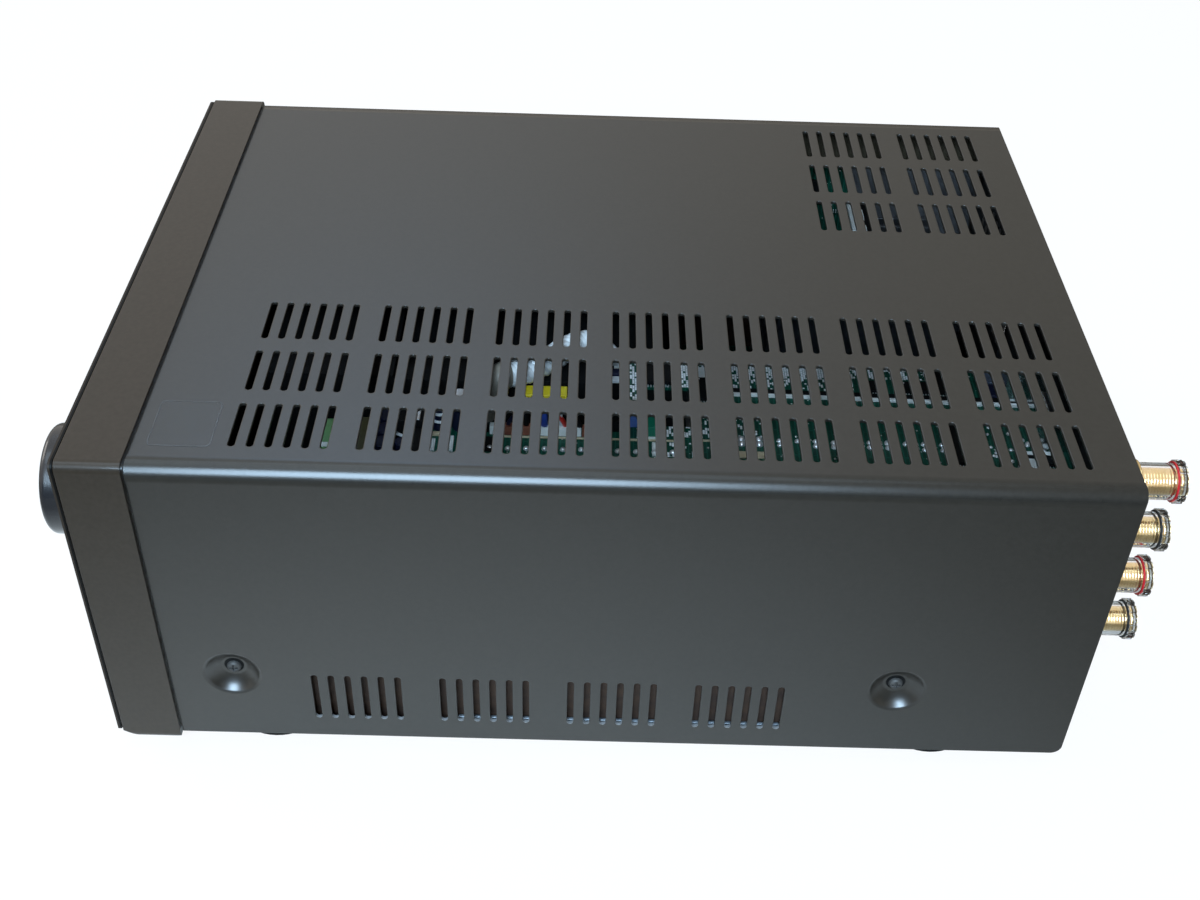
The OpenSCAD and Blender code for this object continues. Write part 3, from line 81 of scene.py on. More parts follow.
def maths(tree, operation, a, b=0):
    """One sum on two values, each a number or another node's output."""
    n = add(tree, "Math")
    n.operation = operation
    for socket, value in zip(n.inputs, (a, b)):
        put(tree, socket, value)
    return n.outputs[0]


def measure(tree, operation, vector):
    """One sum on a vector."""
    n = add(tree, "VectorMath")
    n.operation = operation
    link(tree, vector, n.inputs[0])
    return n.outputs


def split(tree, vector):
    """The X, Y and Z of a vector."""
    n = add(tree, "SeparateXYZ")
    link(tree, vector, n.inputs[0])
    return n.outputs


def blend(tree, fac, a, b):
    """Colour a where fac is 0 and colour b where it is 1."""
    n = add(tree, "MixRGB")
    for socket, value in zip(n.inputs, (fac, a, b)):
        put(tree, socket, value)
    return n.outputs["Color"]


def join(tree, fac, a, b):
    """Shader a where fac is 0 and shader b where it is 1."""
    n = add(tree, "MixShader")
    for socket, value in zip(n.inputs, (fac, a.outputs[0], b.outputs[0])):
        link(tree, value, socket)
    return n


def place(tree, stretch=(1, 1, 1), shift=(0, 0, 0)):
    """Object coordinates in metres, stretched and shifted."""
    coords = add(tree, "TexCoord")
    mapping = add(tree, "Mapping", Scale=stretch, Location=shift)
    link(tree, coords.outputs["Object"], mapping.inputs["Vector"])
    return mapping.outputs["Vector"]


def grey(v, warm=0.0):
    return (v * (1 + warm), v, v * (1 - warm))


def ramp(tree, fac, stops, constant=False):
    """Colours at places along fac."""
    r = add(tree, "ValToRGB")
    if constant:
        r.color_ramp.interpolation = "CONSTANT"
    while len(r.color_ramp.elements) < len(stops):
        r.color_ramp.elements.new(0.5)
    for element, (position, colour) in zip(r.color_ramp.elements, stops):
        element.position = position
        element.color = (*colour, 1)
    link(tree, fac, r.inputs["Fac"])
    return r.outputs["Color"]


def noise(tree, vector, scale, detail=3.0):
    n = add(tree, "TexNoise", Scale=scale, Detail=detail)
    link(tree, vector, n.inputs["Vector"])
    return n.outputs["Fac"]


def drift(tree, vector, grain, dark, light):
    """Colour that drifts between dark and light."""
    return ramp(tree, noise(tree, vector, grain), [(0.3, dark), (0.7, light)])


def relief(tree, bsdf, height, strength, ease=0.0, depth=0.0003):
    """Bumps from a height, over edges softened by ease metres."""
    normal = None
    if ease:
        b = add(tree, "Bevel", Radius=ease)
        b.samples = 6
        normal = b.outputs["Normal"]
    if height is not None:
        b = add(tree, "Bump", Strength=strength, Distance=depth)
        link(tree, height, b.inputs["Height"])
        if normal is not None:
            link(tree, normal, b.inputs["Normal"])
        normal = b.outputs["Normal"]
    if normal is not None:
        link(tree, normal, bsdf.inputs["Normal"])


def blank(name, rough, metal=0.0, shine=0.5, more=None):
    """A new paint, kept under its name; gives its node tree and its shader."""
    m = bpy.data.materials.new(name)
    PAINTS[name] = m
    m.use_nodes = True
    bsdf = m.node_tree.nodes["Principled BSDF"]
    looks = {"Roughness": rough, "Metallic": metal, "Specular IOR Level": shine}
    for key, value in (looks | (more or {})).items():
        bsdf.inputs[key].default_value = value
    return m.node_tree, bsdf


def surface(name, dark, light, grain, rough, metal=0.0, bump=(0, 0), ease=0.0, stretch=(1, 1, 1), shine=0.5,
            more=None):
    """Drifting colour with softened edges, and fine bumps of a strength and a grain."""
    tree, bsdf = blank(name, rough, metal, shine, more)
    at = place(tree, stretch)
    link(tree, drift(tree, at, grain, dark, light), bsdf.inputs["Base Color"])
    strength, fine = bump
    relief(tree, bsdf, noise(tree, at, fine, 2.0) if strength else None, strength, ease)


def circuit(name, dark, light, trace):
    """Solder mask with tracks and tinned pads."""
    tree, bsdf = blank(name, 0.4, shine=0.25)
    at = place(tree)
    sizes = {"Mortar Size": 0.025, "Brick Width": 0.9, "Row Height": 0.21}
    brick = add(tree, "TexBrick", Scale=150.0, **sizes)
    for key, colour in (("Color1", dark), ("Color2", light), ("Mortar", trace)):
        put(tree, brick.inputs[key], colour)
    link(tree, at, brick.inputs["Vector"])
    cells = add(tree, "TexVoronoi", Scale=330.0)
    link(tree, at, cells.inputs["Vector"])
    pads = ramp(tree, cells.outputs["Distance"], [(0.0, grey(1)), (0.10, grey(0))], constant=True)
    link(tree, blend(tree, pads, brick.outputs["Color"], (0.40, 0.42, 0.38)), bsdf.inputs["Base Color"])


def threaded(name, dark, light, rough, pitch, strength):
    """Plated metal with a fine screw thread along Y."""
    tree, bsdf = blank(name, rough, 1.0)
    at = place(tree)
    link(tree, drift(tree, at, 300.0, dark, light), bsdf.inputs["Base Color"])
    wave = add(tree, "TexWave", Scale=math.pi / 10 / pitch)
    wave.bands_direction = "Y"
    link(tree, at, wave.inputs["Vector"])
    relief(tree, bsdf, wave.outputs["Fac"], strength, 0.0003, 0.0002)


def sheer(name, dark, light, grain, rough, more):
    """Smooth see-through plastic."""
    tree, bsdf = blank(name, rough, more=more)
    link(tree, drift(tree, place(tree), grain, dark, light), bsdf.inputs["Base Color"])


def clear(name, tint, pale):
    """Clear moulded plastic."""
    sheer(name, tint, pale, 200.0, 0.04, {"Transmission Weight": 1.0, "IOR": 1.3})


def smoked(name, tint, pale, alpha):
    """Smoked window that lets part of what is behind it through."""
    sheer(name, tint, pale, 30.0, 0.06, {"Alpha": alpha, "Coat Weight": 0.4})


def film(name, alpha):
    """Clear film that only shows by a faint sheen."""
    sheer(name, grey(0.10), grey(0.13), 250.0, 0.22, {"Alpha": alpha})


def dotted(name, dark, lit):
    """Dark display glass with a faint dot matrix."""
    tree, bsdf = blank(name, 0.1, more={"Coat Weight": 0.5})
    cells = add(tree, "TexVoronoi", Scale=900.0, Randomness=0.0)
    link(tree, place(tree, (1, 0, 1)), cells.inputs["Vector"])
    link(tree, ramp(tree, cells.outputs["Distance"], [(0.28, lit), (0.4, dark)]), bsdf.inputs["Base Color"])


def brushed(name, dark, light, edge, lip, front):
    """Plate brushed along X on its front and back; its edges behind a paler lip are painted black, a painted
    shade of the seam round the plate.
    """
    tree, bsdf = blank(name, 0.36)
    at = place(tree, (0.03, 1, 6))
    facing = split(tree, add(tree, "TexCoord").outputs["Normal"])["Y"]
    face = maths(tree, "GREATER_THAN", maths(tree, "POWER", facing, 2.0), 0.5)
    rim = blend(tree, maths(tree, "LESS_THAN", split(tree, place(tree))["Y"], front), edge, lip)
    colour = blend(tree, face, rim, drift(tree, at, 250.0, dark, light))
    link(tree, colour, bsdf.inputs["Base Color"])
    link(tree, maths(tree, "MULTIPLY", face, 0.75), bsdf.inputs["Metallic"])
    shine = maths(tree, "ADD", maths(tree, "MULTIPLY", face, 0.4), 0.1)
    link(tree, shine, bsdf.inputs["Specular IOR Level"])
    relief(tree, bsdf, noise(tree, at, 500.0, 2.0), 0.05)


FASCIA_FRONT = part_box("fascia_plate")[0][1]
LIP_T = 0.6 * MM
COVER_ROUGH, DISH_ROUGH, COVER_SHINE = 0.37, 0.30, 0.65

surface("cover_paint", (0.0145, 0.0122, 0.0095), (0.0190, 0.0160, 0.0125), 700, COVER_ROUGH,
        bump=(0.04, 2600), ease=0.0005, shine=COVER_SHINE)
surface("panel_paint", grey(0.02), grey(0.026), 500, 0.55, bump=(0.1, 2400), ease=0.0003)
surface("zinc_steel", (0.40, 0.41, 0.42), (0.52, 0.53, 0.53), 90, 0.38, 1.0, bump=(0.04, 900), ease=0.0003)
surface("black_screw", grey(0.045, 0.06), grey(0.065, 0.06), 600, 0.55, 0.3, bump=(0.05, 2500), ease=0.0003)
surface("bezel_plastic", (0.0215, 0.0150, 0.0095), (0.028, 0.0195, 0.0130), 700, 0.46, bump=(0.05, 2800),
        ease=0.0004, shine=0.15, more={"Coat Weight": 0.5, "Coat Roughness": 0.08})
# The black edge colour is painted shade: it stands for the dark seam between the fascia and the bezel.
brushed("fascia_metal", (0.045, 0.041, 0.038), (0.066, 0.061, 0.057), grey(0.003), (0.030, 0.022, 0.016),
        FASCIA_FRONT + LIP_T)
surface("black_plastic", grey(0.003), grey(0.005), 400, 0.65, bump=(0.06, 1800), ease=0.0003, shine=0.12)
surface("foot_pad", grey(0.03), grey(0.045), 500, 0.8, bump=(0.2, 1600))
surface("gloss_black", (0.010, 0.010, 0.012), (0.014, 0.014, 0.016), 120, 0.24, ease=0.0004,
        more={"Coat Weight": 0.3, "Coat Roughness": 0.08})
smoked("smoked_lens", (0.008, 0.009, 0.011), (0.012, 0.013, 0.015), 0.82)
dotted("display_glass", (0.006, 0.012, 0.014), (0.02, 0.05, 0.055))
circuit("circuit_board", (0.0020, 0.034, 0.021), (0.0030, 0.052, 0.031), (0.008, 0.085, 0.055))
surface("tinned_shell", (0.55, 0.56, 0.57), (0.68, 0.69, 0.70), 150, 0.24, 1.0, bump=(0.03, 900),
        ease=0.0002)
surface("tray_plastic", grey(0.004), grey(0.007), 500, 0.6, bump=(0.08, 2200), ease=0.0003, shine=0.15)
surface("door_plastic", (0.045, 0.041, 0.038), (0.062, 0.057, 0.053), 250, 0.38, 0.6, bump=(0.05, 500),
        ease=0.0003, stretch=(0.03, 1, 6))
surface("white_plastic", (0.62, 0.61, 0.57), (0.74, 0.73, 0.69), 200, 0.42, bump=(0.03, 1200), ease=0.0003)
surface("rubber", grey(0.012), grey(0.02), 500, 0.75, bump=(0.15, 1500))
surface("polished_rod", grey(0.6), grey(0.7), 200, 0.14, 1.0)
surface("pickup_body", grey(0.03), grey(0.045), 400, 0.45, bump=(0.08, 1500), ease=0.0003)
surface("capacitor_sleeve", (0.005, 0.006, 0.020), (0.008, 0.010, 0.028), 150, 0.45, ease=0.0008, shine=0.2)
surface("heatsink_metal", (0.24, 0.25, 0.27), (0.34, 0.35, 0.37), 120, 0.42, 1.0, bump=(0.06, 700),
        ease=0.0003, stretch=(1, 1, 0.05))
surface("core_steel", grey(0.05), grey(0.09), 900, 0.5, 0.5, bump=(0.2, 1400), stretch=(0.05, 1, 0.05))
surface("yellow_tape", (0.72, 0.55, 0.02), (0.86, 0.68, 0.03), 120, 0.34, bump=(0.05, 350), ease=0.0006)
surface("flat_cable", (0.16, 0.17, 0.18), (0.24, 0.25, 0.26), 500, 0.45, bump=(0.3, 800),
        stretch=(1, 0.02, 0.02))
threaded("gold_plate", (0.84, 0.62, 0.30), (0.92, 0.72, 0.40), 0.22, 0.0009, 0.35)
clear("red_clear", (0.94, 0.92, 0.92), (0.99, 0.98, 0.98))
clear("grey_clear", (0.92, 0.93, 0.94), (0.98, 0.98, 0.99))
surface("key_plastic", grey(0.010), grey(0.016), 300, 0.3, bump=(0.03, 1800), ease=0.0004)
# Only on pieces of the scene
surface("part_black", grey(0.003), grey(0.006), 400, 0.6, bump=(0.08, 1500), shine=0.12)
surface("part_olive", (0.055, 0.052, 0.016), (0.08, 0.075, 0.026), 300, 0.45)
# Lighter copy of the solder-mask green: painted light, as where the board is lit through the vents
surface("mask_painted_lit", (0.004, 0.14, 0.080), (0.006, 0.18, 0.10), 300, 0.4)
surface("shield_tin", (0.10, 0.12, 0.17), (0.16, 0.19, 0.25), 300, 0.4, 0.6, bump=(0.05, 900))
surface("part_white", (0.66, 0.66, 0.62), (0.80, 0.80, 0.76), 300, 0.4, bump=(0.03, 900))
surface("part_beige", (0.42, 0.33, 0.20), (0.55, 0.45, 0.30), 500, 0.45)
surface("part_blue", (0.05, 0.10, 0.30), (0.09, 0.16, 0.42), 300, 0.4)
# Dark brown of the sheets behind the side slots: partly the sheets' own brown, partly a painted shade of the
# dark space there
surface("sheet_brown_and_shade", (0.026, 0.013, 0.008), (0.052, 0.026, 0.014), 300, 0.7, bump=(0.1, 900))
surface("part_rust", (0.17, 0.052, 0.030), (0.24, 0.080, 0.045), 300, 0.5)
surface("part_lime", (0.10, 0.23, 0.08), (0.18, 0.34, 0.14), 120, 0.4)
surface("brown_grey_sleeve", (0.11, 0.095, 0.075), (0.16, 0.14, 0.11), 300, 0.5)
surface("print_white", grey(0.76), grey(0.86), 900, 0.5)
surface("solder", grey(0.62), grey(0.78), 900, 0.28, 0.7, bump=(0.1, 900))
surface("wire_grey", (0.46, 0.47, 0.47), (0.60, 0.61, 0.61), 400, 0.4)
surface("wire_red", (0.38, 0.015, 0.012), (0.52, 0.03, 0.02), 300, 0.4)
surface("wire_blue", (0.012, 0.035, 0.22), (0.025, 0.060, 0.30), 300, 0.4)
# Pale metal strips on the slots' lower edges: painted highlight, standing for the glint of those edges
surface("edge_glint", grey(0.24), grey(0.32), 900, 0.35, 0.3)
surface("rail_zinc", (0.13, 0.15, 0.17), (0.19, 0.21, 0.23), 300, 0.4, 0.4)
# Tones of the cover's inner left wall: painted light, olive above and blue grey below where the light
# through the slots falls on it
surface("lit_wall_grey", (0.075, 0.074, 0.078), (0.100, 0.098, 0.100), 300, 0.7)
surface("lit_wall_olive", (0.032, 0.023, 0.010), (0.042, 0.031, 0.015), 300, 0.7)
surface("ring_red", (0.42, 0.010, 0.014), (0.58, 0.02, 0.025), 400, 0.3)
surface("ring_black", grey(0.012), grey(0.02), 400, 0.35)
surface("ring_white", grey(0.66), grey(0.76), 400, 0.4)
surface("contact_gold", (0.80, 0.55, 0.22), (0.88, 0.65, 0.30), 400, 0.2, 1.0)
surface("led_green", (0.12, 0.42, 0.10), (0.20, 0.55, 0.16), 900, 0.2)
surface("led_amber", (0.55, 0.28, 0.02), (0.70, 0.38, 0.05), 900, 0.2)
film("film_clear", 0.035)
film("film_rim", 0.30)

for part in frame["record"]["subparts"]:
    mesh = frame["nodes"][part["node"]].data
    mesh.materials.clear()
    mesh.materials.append(PAINTS[part["material_slot"]])


# Shapes

def skin(rows, n):
    """Faces between rows of n points, each row a closed loop."""
    return [(i + k, i + (k + 1) % n, i + n + (k + 1) % n, i + n + k)
            for i in range(0, (rows - 1) * n, n) for k in range(n)]


class Shape:
    """Gathers solids in millimetres and makes one object of them in metres."""

    def __init__(self):
        self.points, self.faces, self.paints = [], [], []

    def add(self, points, faces, paint=0):
        base = len(self.points)
        self.points += [tuple(p) for p in points]
        self.faces += [tuple(base + i for i in f) for f in faces]
        self.paints += [paint] * len(faces)

    def box(self, lo, hi, paint=0, taper=0.0):
        """Block whose upper end is smaller by taper on each side."""
        (x0, y0, z0), (x1, y1, z1), t = lo, hi, taper
        self.add(
            [(x0, y0, z0), (x1, y0, z0), (x1, y1, z0), (x0, y1, z0),
             (x0 + t, y0 + t, z1), (x1 - t, y0 + t, z1), (x1 - t, y1 - t, z1), (x0 + t, y1 - t, z1)],
            [(0, 3, 2, 1), (4, 5, 6, 7), (0, 1, 5, 4), (1, 2, 6, 5), (2, 3, 7, 6), (3, 0, 4, 7)], paint)

    def prism(self, outline, to, depth, paint=0):
        """Outline (u, v) drawn through to(u, v, w) from w 0 to depth."""
        n = len(outline)
        self.add([to(u, v, 0) for u, v in outline] + [to(u, v, depth) for u, v in outline],
                 [tuple(range(n)), tuple(range(n, 2 * n))]
                 + [(i, (i + 1) % n, n + (i + 1) % n, n + i) for i in range(n)], paint)

    def ring(self, r_in, r_out, to, depth, paint=0, steps=40):
        """Flat ring with both edges eased."""
        e = min(0.15, depth / 3, (r_out - r_in) / 3)
        self.lathe([(r_in, 0), (r_out - e, 0), (r_out, e), (r_out, depth - e), (r_out - e, depth),
                    (r_in + e, depth), (r_in, depth - e)], to, paint, steps, loop=True)

    def lathe(self, profile, to, paint=0, steps=32, loop=False):
        """Profile (r, w) turned about the w axis of to(u, v, w)."""
        n = len(profile)
        points, faces = [], []
        for i in range(steps):
            a = 2 * math.pi * i / steps
            points += [to(r * math.cos(a), r * math.sin(a), w) for r, w in profile]
        rows = range(n) if loop else range(n - 1)
        for i in range(steps):
            j = (i + 1) % steps
            faces += [(i * n + k, j * n + k, j * n + (k + 1) % n, i * n + (k + 1) % n) for k in rows]
        if not loop:
            faces += [tuple(i * n for i in range(steps)), tuple(i * n + n - 1 for i in range(steps))]
        self.add(points, faces, paint)

    def tube(self, path, r, paint=0, steps=8):
        """Round wire along a path."""
        path = [Vector(p) for p in path]
        turns = [2 * math.pi * k / steps for k in range(steps)]
        points, side = [], None
        for i, p in enumerate(path):
            ahead = (path[min(i + 1, len(path) - 1)] - path[max(i - 1, 0)]).normalized()
            if side is None:
                side = ahead.orthogonal().normalized()
            side = (side - ahead * side.dot(ahead)).normalized()
            up = ahead.cross(side)
            points += [p + r * (math.cos(a) * side + math.sin(a) * up) for a in turns]
        ends = [tuple(range(i, i + steps)) for i in (0, len(points) - steps)]
        self.add(points, skin(len(path), steps) + ends, paint)

    def make(self, name, paints, body="case", ease=0.0, smooth=35):
        """Makes the object with its paints and edges eased, riding on a body."""
        mesh = bpy.data.meshes.new(name)
        mesh.from_pydata([[c * MM for c in p] for p in self.points], [], self.faces)
        mesh.polygons.foreach_set("material_index", self.paints)
        b = bmesh.new()
        b.from_mesh(mesh)
        bmesh.ops.remove_doubles(b, verts=b.verts, dist=1e-7)
        bmesh.ops.recalc_face_normals(b, faces=b.faces)
        b.to_mesh(mesh)
        b.free()
        for p in paints:
            mesh.materials.append(PAINTS[p])
        mesh.polygons.foreach_set("use_smooth", [True] * len(mesh.polygons))
        mesh.set_sharp_from_angle(angle=math.radians(smooth))
        o = bpy.data.objects.new(name, mesh)
        scene.collection.objects.link(o)
        if ease:
            mod = o.modifiers.new("ease", "BEVEL")
            mod.width = ease * MM
            mod.segments = 2
            mod.limit_method = "ANGLE"
            mod.angle_limit = math.radians(40)
        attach(o, body)
        return o


# Places from which an outline (u, v) is drawn up, to the rear, to the front or to a side

def upright(x, y, z):
    return lambda u, v, w=0.0: (x + u, y + v, z + w)


def rearward(x, y, z):
    return lambda u, v, w: (x + u, y + w, z + v)


def forward(x, y, z):
    return lambda u, v, w: (x + u, y - w, z + v)


def sideways(x, y, z, s=1):
    return lambda u, v, w: (x + s * w, y + u, z + v)


def arc(r, a0, a1, steps):
    """Points of an arc about the origin, between two angles in degrees."""
    angles = [math.radians(a0 + (a1 - a0) * i / steps) for i in range(steps + 1)]
    return [(r * math.cos(a), r * math.sin(a)) for a in angles]


def arc_band(r, t, a0, a1, steps=28):
    """Outline of a band of thickness t inside an arc."""
    return arc(r, a0, a1, steps) + arc(r - t, a0, a1, steps)[::-1]


def disc(x, r, steps=18):
    """Outline of a circle about (x, 0)."""
    return [(x + u, v) for u, v in arc(r, 0, 360, steps)[:-1]]


def rounded(w, h, r, steps=6):
    """Outline of a rounded rectangle about the origin."""
    out = []
    for k, (sx, sy) in enumerate([(1, 1), (-1, 1), (-1, -1), (1, -1)]):
        x, y = sx * (w / 2 - r), sy * (h / 2 - r)
        out += [(x + u, y + v) for u, v in arc(r, 90 * k, 90 * (k + 1), steps)]
    return out


def mm_box(node):
    """Low and high corner of a node's box, in millimetres."""
    lo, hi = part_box(node)
    return [c / MM for c in lo], [c / MM for c in hi]


# Paint of the cover: smoother in the pressed dishes, and eased over the two long folds

COVER_LO, COVER_HI = mm_box("top_cover")
DISH_X, DISH_Z, DISH_R = COVER_HI[0] - 3.5, COVER_LO[2] + 27.6, 8.2
DISH_YS = [COVER_LO[1] + 19, COVER_LO[1] + 222.7]
FOLD_R, FOLD_GLOSS, FOLD_DIM = 5.5, 0.13, 0.27


def gloss_dishes(tree):
    """Makes the paint smoother where the dishes are pressed."""
    nearest = 1.0
    for y in DISH_YS:
        span = measure(tree, "LENGTH", place(tree, (0, 1, 1), (0, -y * MM, -DISH_Z * MM)))["Value"]
        nearest = maths(tree, "MINIMUM", span, nearest)
    outside = maths(tree, "GREATER_THAN", nearest, DISH_R * MM)
    rough = maths(tree, "ADD", maths(tree, "MULTIPLY", outside, COVER_ROUGH - DISH_ROUGH), DISH_ROUGH)
    link(tree, rough, tree.nodes["Principled BSDF"].inputs["Roughness"])


def ease_folds(tree):
    """Lets light turn over the folds as over a bend of radius FOLD_R, with smoother and duller paint."""
    bump = next(n for n in tree.nodes if n.type == "BUMP")
    bsdf = tree.nodes["Principled BSDF"]
    at = split(tree, place(tree))
    out = maths(tree, "SUBTRACT", maths(tree, "ABSOLUTE", at["X"]), (COVER_HI[0] - FOLD_R) * MM)
    up = maths(tree, "SUBTRACT", at["Z"], (COVER_HI[2] - FOLD_R) * MM)
    inside = maths(tree, "GREATER_THAN", maths(tree, "MINIMUM", out, up))
    bend = add(tree, "CombineXYZ")
    link(tree, maths(tree, "MULTIPLY", out, maths(tree, "SIGN", at["X"])), bend.inputs["X"])
    link(tree, up, bend.inputs["Z"])
    normal = measure(tree, "NORMALIZE", bend.outputs[0])["Vector"]
    in_room = add(tree, "VectorTransform")
    in_room.vector_type = "NORMAL"
    in_room.convert_from = "OBJECT"
    in_room.convert_to = "WORLD"
    link(tree, normal, in_room.inputs[0])
    plain = bump.inputs["Normal"].links[0].from_socket
    link(tree, blend(tree, inside, plain, in_room.outputs[0]), bump.inputs["Normal"])
    lean = split(tree, normal)
    slope = maths(tree, "ABSOLUTE", maths(tree, "MULTIPLY", lean["X"], lean["Z"]))
    bent = maths(tree, "MULTIPLY", maths(tree, "MULTIPLY", slope, inside), 2)
    rough = bsdf.inputs["Roughness"]
    smoother = maths(tree, "MULTIPLY", bent, FOLD_GLOSS)
    link(tree, maths(tree, "SUBTRACT", rough.links[0].from_socket, smoother), rough)
    duller = maths(tree, "MULTIPLY", bent, FOLD_DIM)
    link(tree, maths(tree, "SUBTRACT", COVER_SHINE, duller), bsdf.inputs["Specular IOR Level"])


gloss_dishes(PAINTS["cover_paint"].node_tree)
ease_folds(PAINTS["cover_paint"].node_tree)


# Screws of the cover: domed heads with a cross recess; round each dish screw a flat black ring, a painted
# shade of the deep hole it sits in

HEAD_R, HEAD_T, HEAD_STEPS, SHANK_R, SHANK_L, SHANK_IN = 2.2, 1.4, 48, 1.5, 7.0, 0.05
HEAD_RISE = [(1, 0), (1, 0.24), (0.93, 0.53), (0.80, 0.75), (0.66, 0.87)]
CROSS_ARM, CROSS_HALF, CROSS_DRAFT = 0.62 * HEAD_R, 0.16 * HEAD_R, 0.86
CROSS_RIM, CROSS_FLOOR = HEAD_T - 0.06, 0.4 * HEAD_T
HOLE_SHADE_R, HOLE_SHADE_T, HOLE_SHADE_LIFT = 3.0, 0.12, 0.35
LIP_XS = [COVER_LO[0] + 25.5, 0, COVER_HI[0] - 47]
LIP_Z = COVER_HI[2] - 4.5


def screw(shape, to):
    """Domed head with a sunk cross, standing on w 0, and its shank below."""
    cross = []
    for c, s in [(1, 0), (0, 1), (-1, 0), (0, -1)]:
        for u, v in [(CROSS_HALF, -CROSS_HALF), (CROSS_ARM, -CROSS_HALF), (CROSS_ARM, CROSS_HALF)]:
            cross.append((u * c - v * s, u * s + v * c))
    n, m = HEAD_STEPS, len(cross)
    points = [to(u, v, w * HEAD_T) for r, w in HEAD_RISE for u, v in disc(0, r * HEAD_R, n)]
    top, rim = len(points) - n, len(points)
    faces = skin(len(HEAD_RISE), n) + [tuple(range(n))]
    points += [to(u, v, CROSS_RIM) for u, v in cross]
    points += [to(CROSS_DRAFT * u, CROSS_DRAFT * v, CROSS_FLOOR) for u, v in cross]
    angles = [math.atan2(v, u) % (2 * math.pi) for u, v in cross]
    nearest = [round(a / (2 * math.pi) * n) % n for a in angles]
    for j in range(m):
        k = (j + 1) % m
        a, b = nearest[j], nearest[k]
        edge = [top + (a + i) % n for i in range((b - a) % n + 1)]
        faces.append((rim + j, *edge, rim + k))
        faces.append((rim + j, rim + k, rim + m + k, rim + m + j))
    faces.append(tuple(range(rim + m, rim + 2 * m)))
    shape.add(points, faces)
    shape.lathe([(SHANK_R, -SHANK_L), (SHANK_R, SHANK_IN)], to, steps=24)


screws = Shape()
for s in (1, -1):
    for y in DISH_YS:
        screw(screws, sideways(s * DISH_X, y, DISH_Z, s))
        # Flat black ring round the head: painted shade of the deep hole in the dish
        hole_shade_at = sideways(s * DISH_X, y, DISH_Z + HOLE_SHADE_LIFT, s)
        screws.ring(HEAD_R - HOLE_SHADE_LIFT, HOLE_SHADE_R, hole_shade_at, HOLE_SHADE_T, 1)
for x in LIP_XS:
    screw(screws, rearward(x, COVER_HI[1], LIP_Z))
heads = screws.make("cover_screw_heads", ["black_screw", "part_black"], smooth=30)
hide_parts("cover_screws")


# Blank clear film on the cover near the front right corner

FILM_W, FILM_L, FILM_R, FILM_T = 20.0, 17.6, 1.6, 0.08
FILM_X, FILM_Y, FILM_Z = COVER_HI[0] - 19.5, COVER_LO[1] + 12.8, COVER_HI[2] + 0.01
EDGE_W, EDGE_T = 0.25, 0.02
film_at = upright(FILM_X, FILM_Y, FILM_Z)
outer = rounded(FILM_W, FILM_L, FILM_R)
inner = rounded(FILM_W - 2 * EDGE_W, FILM_L - 2 * EDGE_W, FILM_R - EDGE_W)
label = Shape()
label.prism(outer, film_at, FILM_T)
label.make("cover_film", ["film_clear"], smooth=20)
n = len(outer)
around = [(i, (i + 1) % n) for i in range(n)]
flats = [(i + k, j + k, n + j + k, n + i + k) for k in (0, 2 * n) for i, j in around]
walls = [(i + k, j + k, j + k + 2 * n, i + k + 2 * n) for k in (0, n) for i, j in around]
rim = Shape()
rim.add([film_at(u, v, w) for w in (FILM_T, FILM_T + EDGE_T) for u, v in outer + inner], flats + walls)
rim.make("film_edge", ["film_rim"], smooth=20)


# Binding posts: coloured rings in the clear caps and coloured washers on the block

BLOCK_LO, BLOCK_HI = mm_box("terminal_block")
POST_X = (BLOCK_LO[0] + BLOCK_HI[0]) / 2
FLANGE_L = 2.4
# Rings of a cap: where they start and end, in from the flange's edge, and their thickness
CAP_RING, CAP_RING_T = (1.0, 0.35), 0.6
FACE_RING, FACE_RING_T = (2.1, 1.2), 0.15
WASHER_IN, WASHER_OUT, WASHER_T = 6.45, 8.1, 1.3
for i in range(1, 5):
    lo, hi = mm_box(f"speaker_cap_{i}")
    z = (lo[2] + hi[2]) / 2
    colour = "ring_red" if i % 2 else "ring_black"
    flange_r = (hi[2] - lo[2]) / 2
    ring = Shape()
    ring_at = rearward(POST_X, hi[1] - FLANGE_L - CAP_RING_T, z)
    ring.ring(flange_r - CAP_RING[0], flange_r - CAP_RING[1], ring_at, CAP_RING_T)
    face_at = rearward(POST_X, hi[1], z)
    ring.ring(flange_r - FACE_RING[0], flange_r - FACE_RING[1], face_at, FACE_RING_T)
    ring.make(f"cap_ring_{i}", [colour], f"cap_{i}", smooth=30)
    washer = Shape()
    washer.ring(WASHER_IN, WASHER_OUT, rearward(POST_X, BLOCK_HI[1], z), WASHER_T)
    washer.make(f"post_washer_{i}", [colour])


# Boards: what shows through the vents

rng = random.Random(11)
POWER_LO, POWER_HI = mm_box("power_board")
NET_LO = mm_box("network_board")[0]
LOADER_LO, LOADER_HI = mm_box("loader_frame")
DECK = POWER_HI[2]
BOARD_T = 1.6
PIN_STEP = 2.785
HEADER_U, HEADER_H = (3.8, 6.2), 3.0
LOADER_BOARD_T = 1.2
BRIDGE_T = 0.6
CHIP_H, CHIP_LIFT, LEG_STEP, LEG_L, LEG_W, LEG_H = 1.4, 0.1, 0.9, 0.8, 0.36, 0.3
MARK_W, MARK_IN, PRINT_T = 0.5, 0.6, 0.03
PRINT_STEP, PRINT_W, PRINT_GAP = 0.75, 0.62, 0.15
# Places on the two boards, from their front left corners, and on the loader, from its rear right corner
on_power = upright(POWER_LO[0], POWER_LO[1], DECK)
on_net = upright(NET_LO[0], NET_LO[1], DECK)
on_loader = upright(*LOADER_HI)


def about(middle, size):
    """Range of a size about its middle."""
    return middle - size / 2, middle + size / 2


def slab(shape, at, u, v, h, paint=0, foot=0.0, taper=0.06):
    """Low block over a range of u and of v."""
    shape.box(at(u[0], v[0], foot), at(u[1], v[1], foot + h), paint, taper)


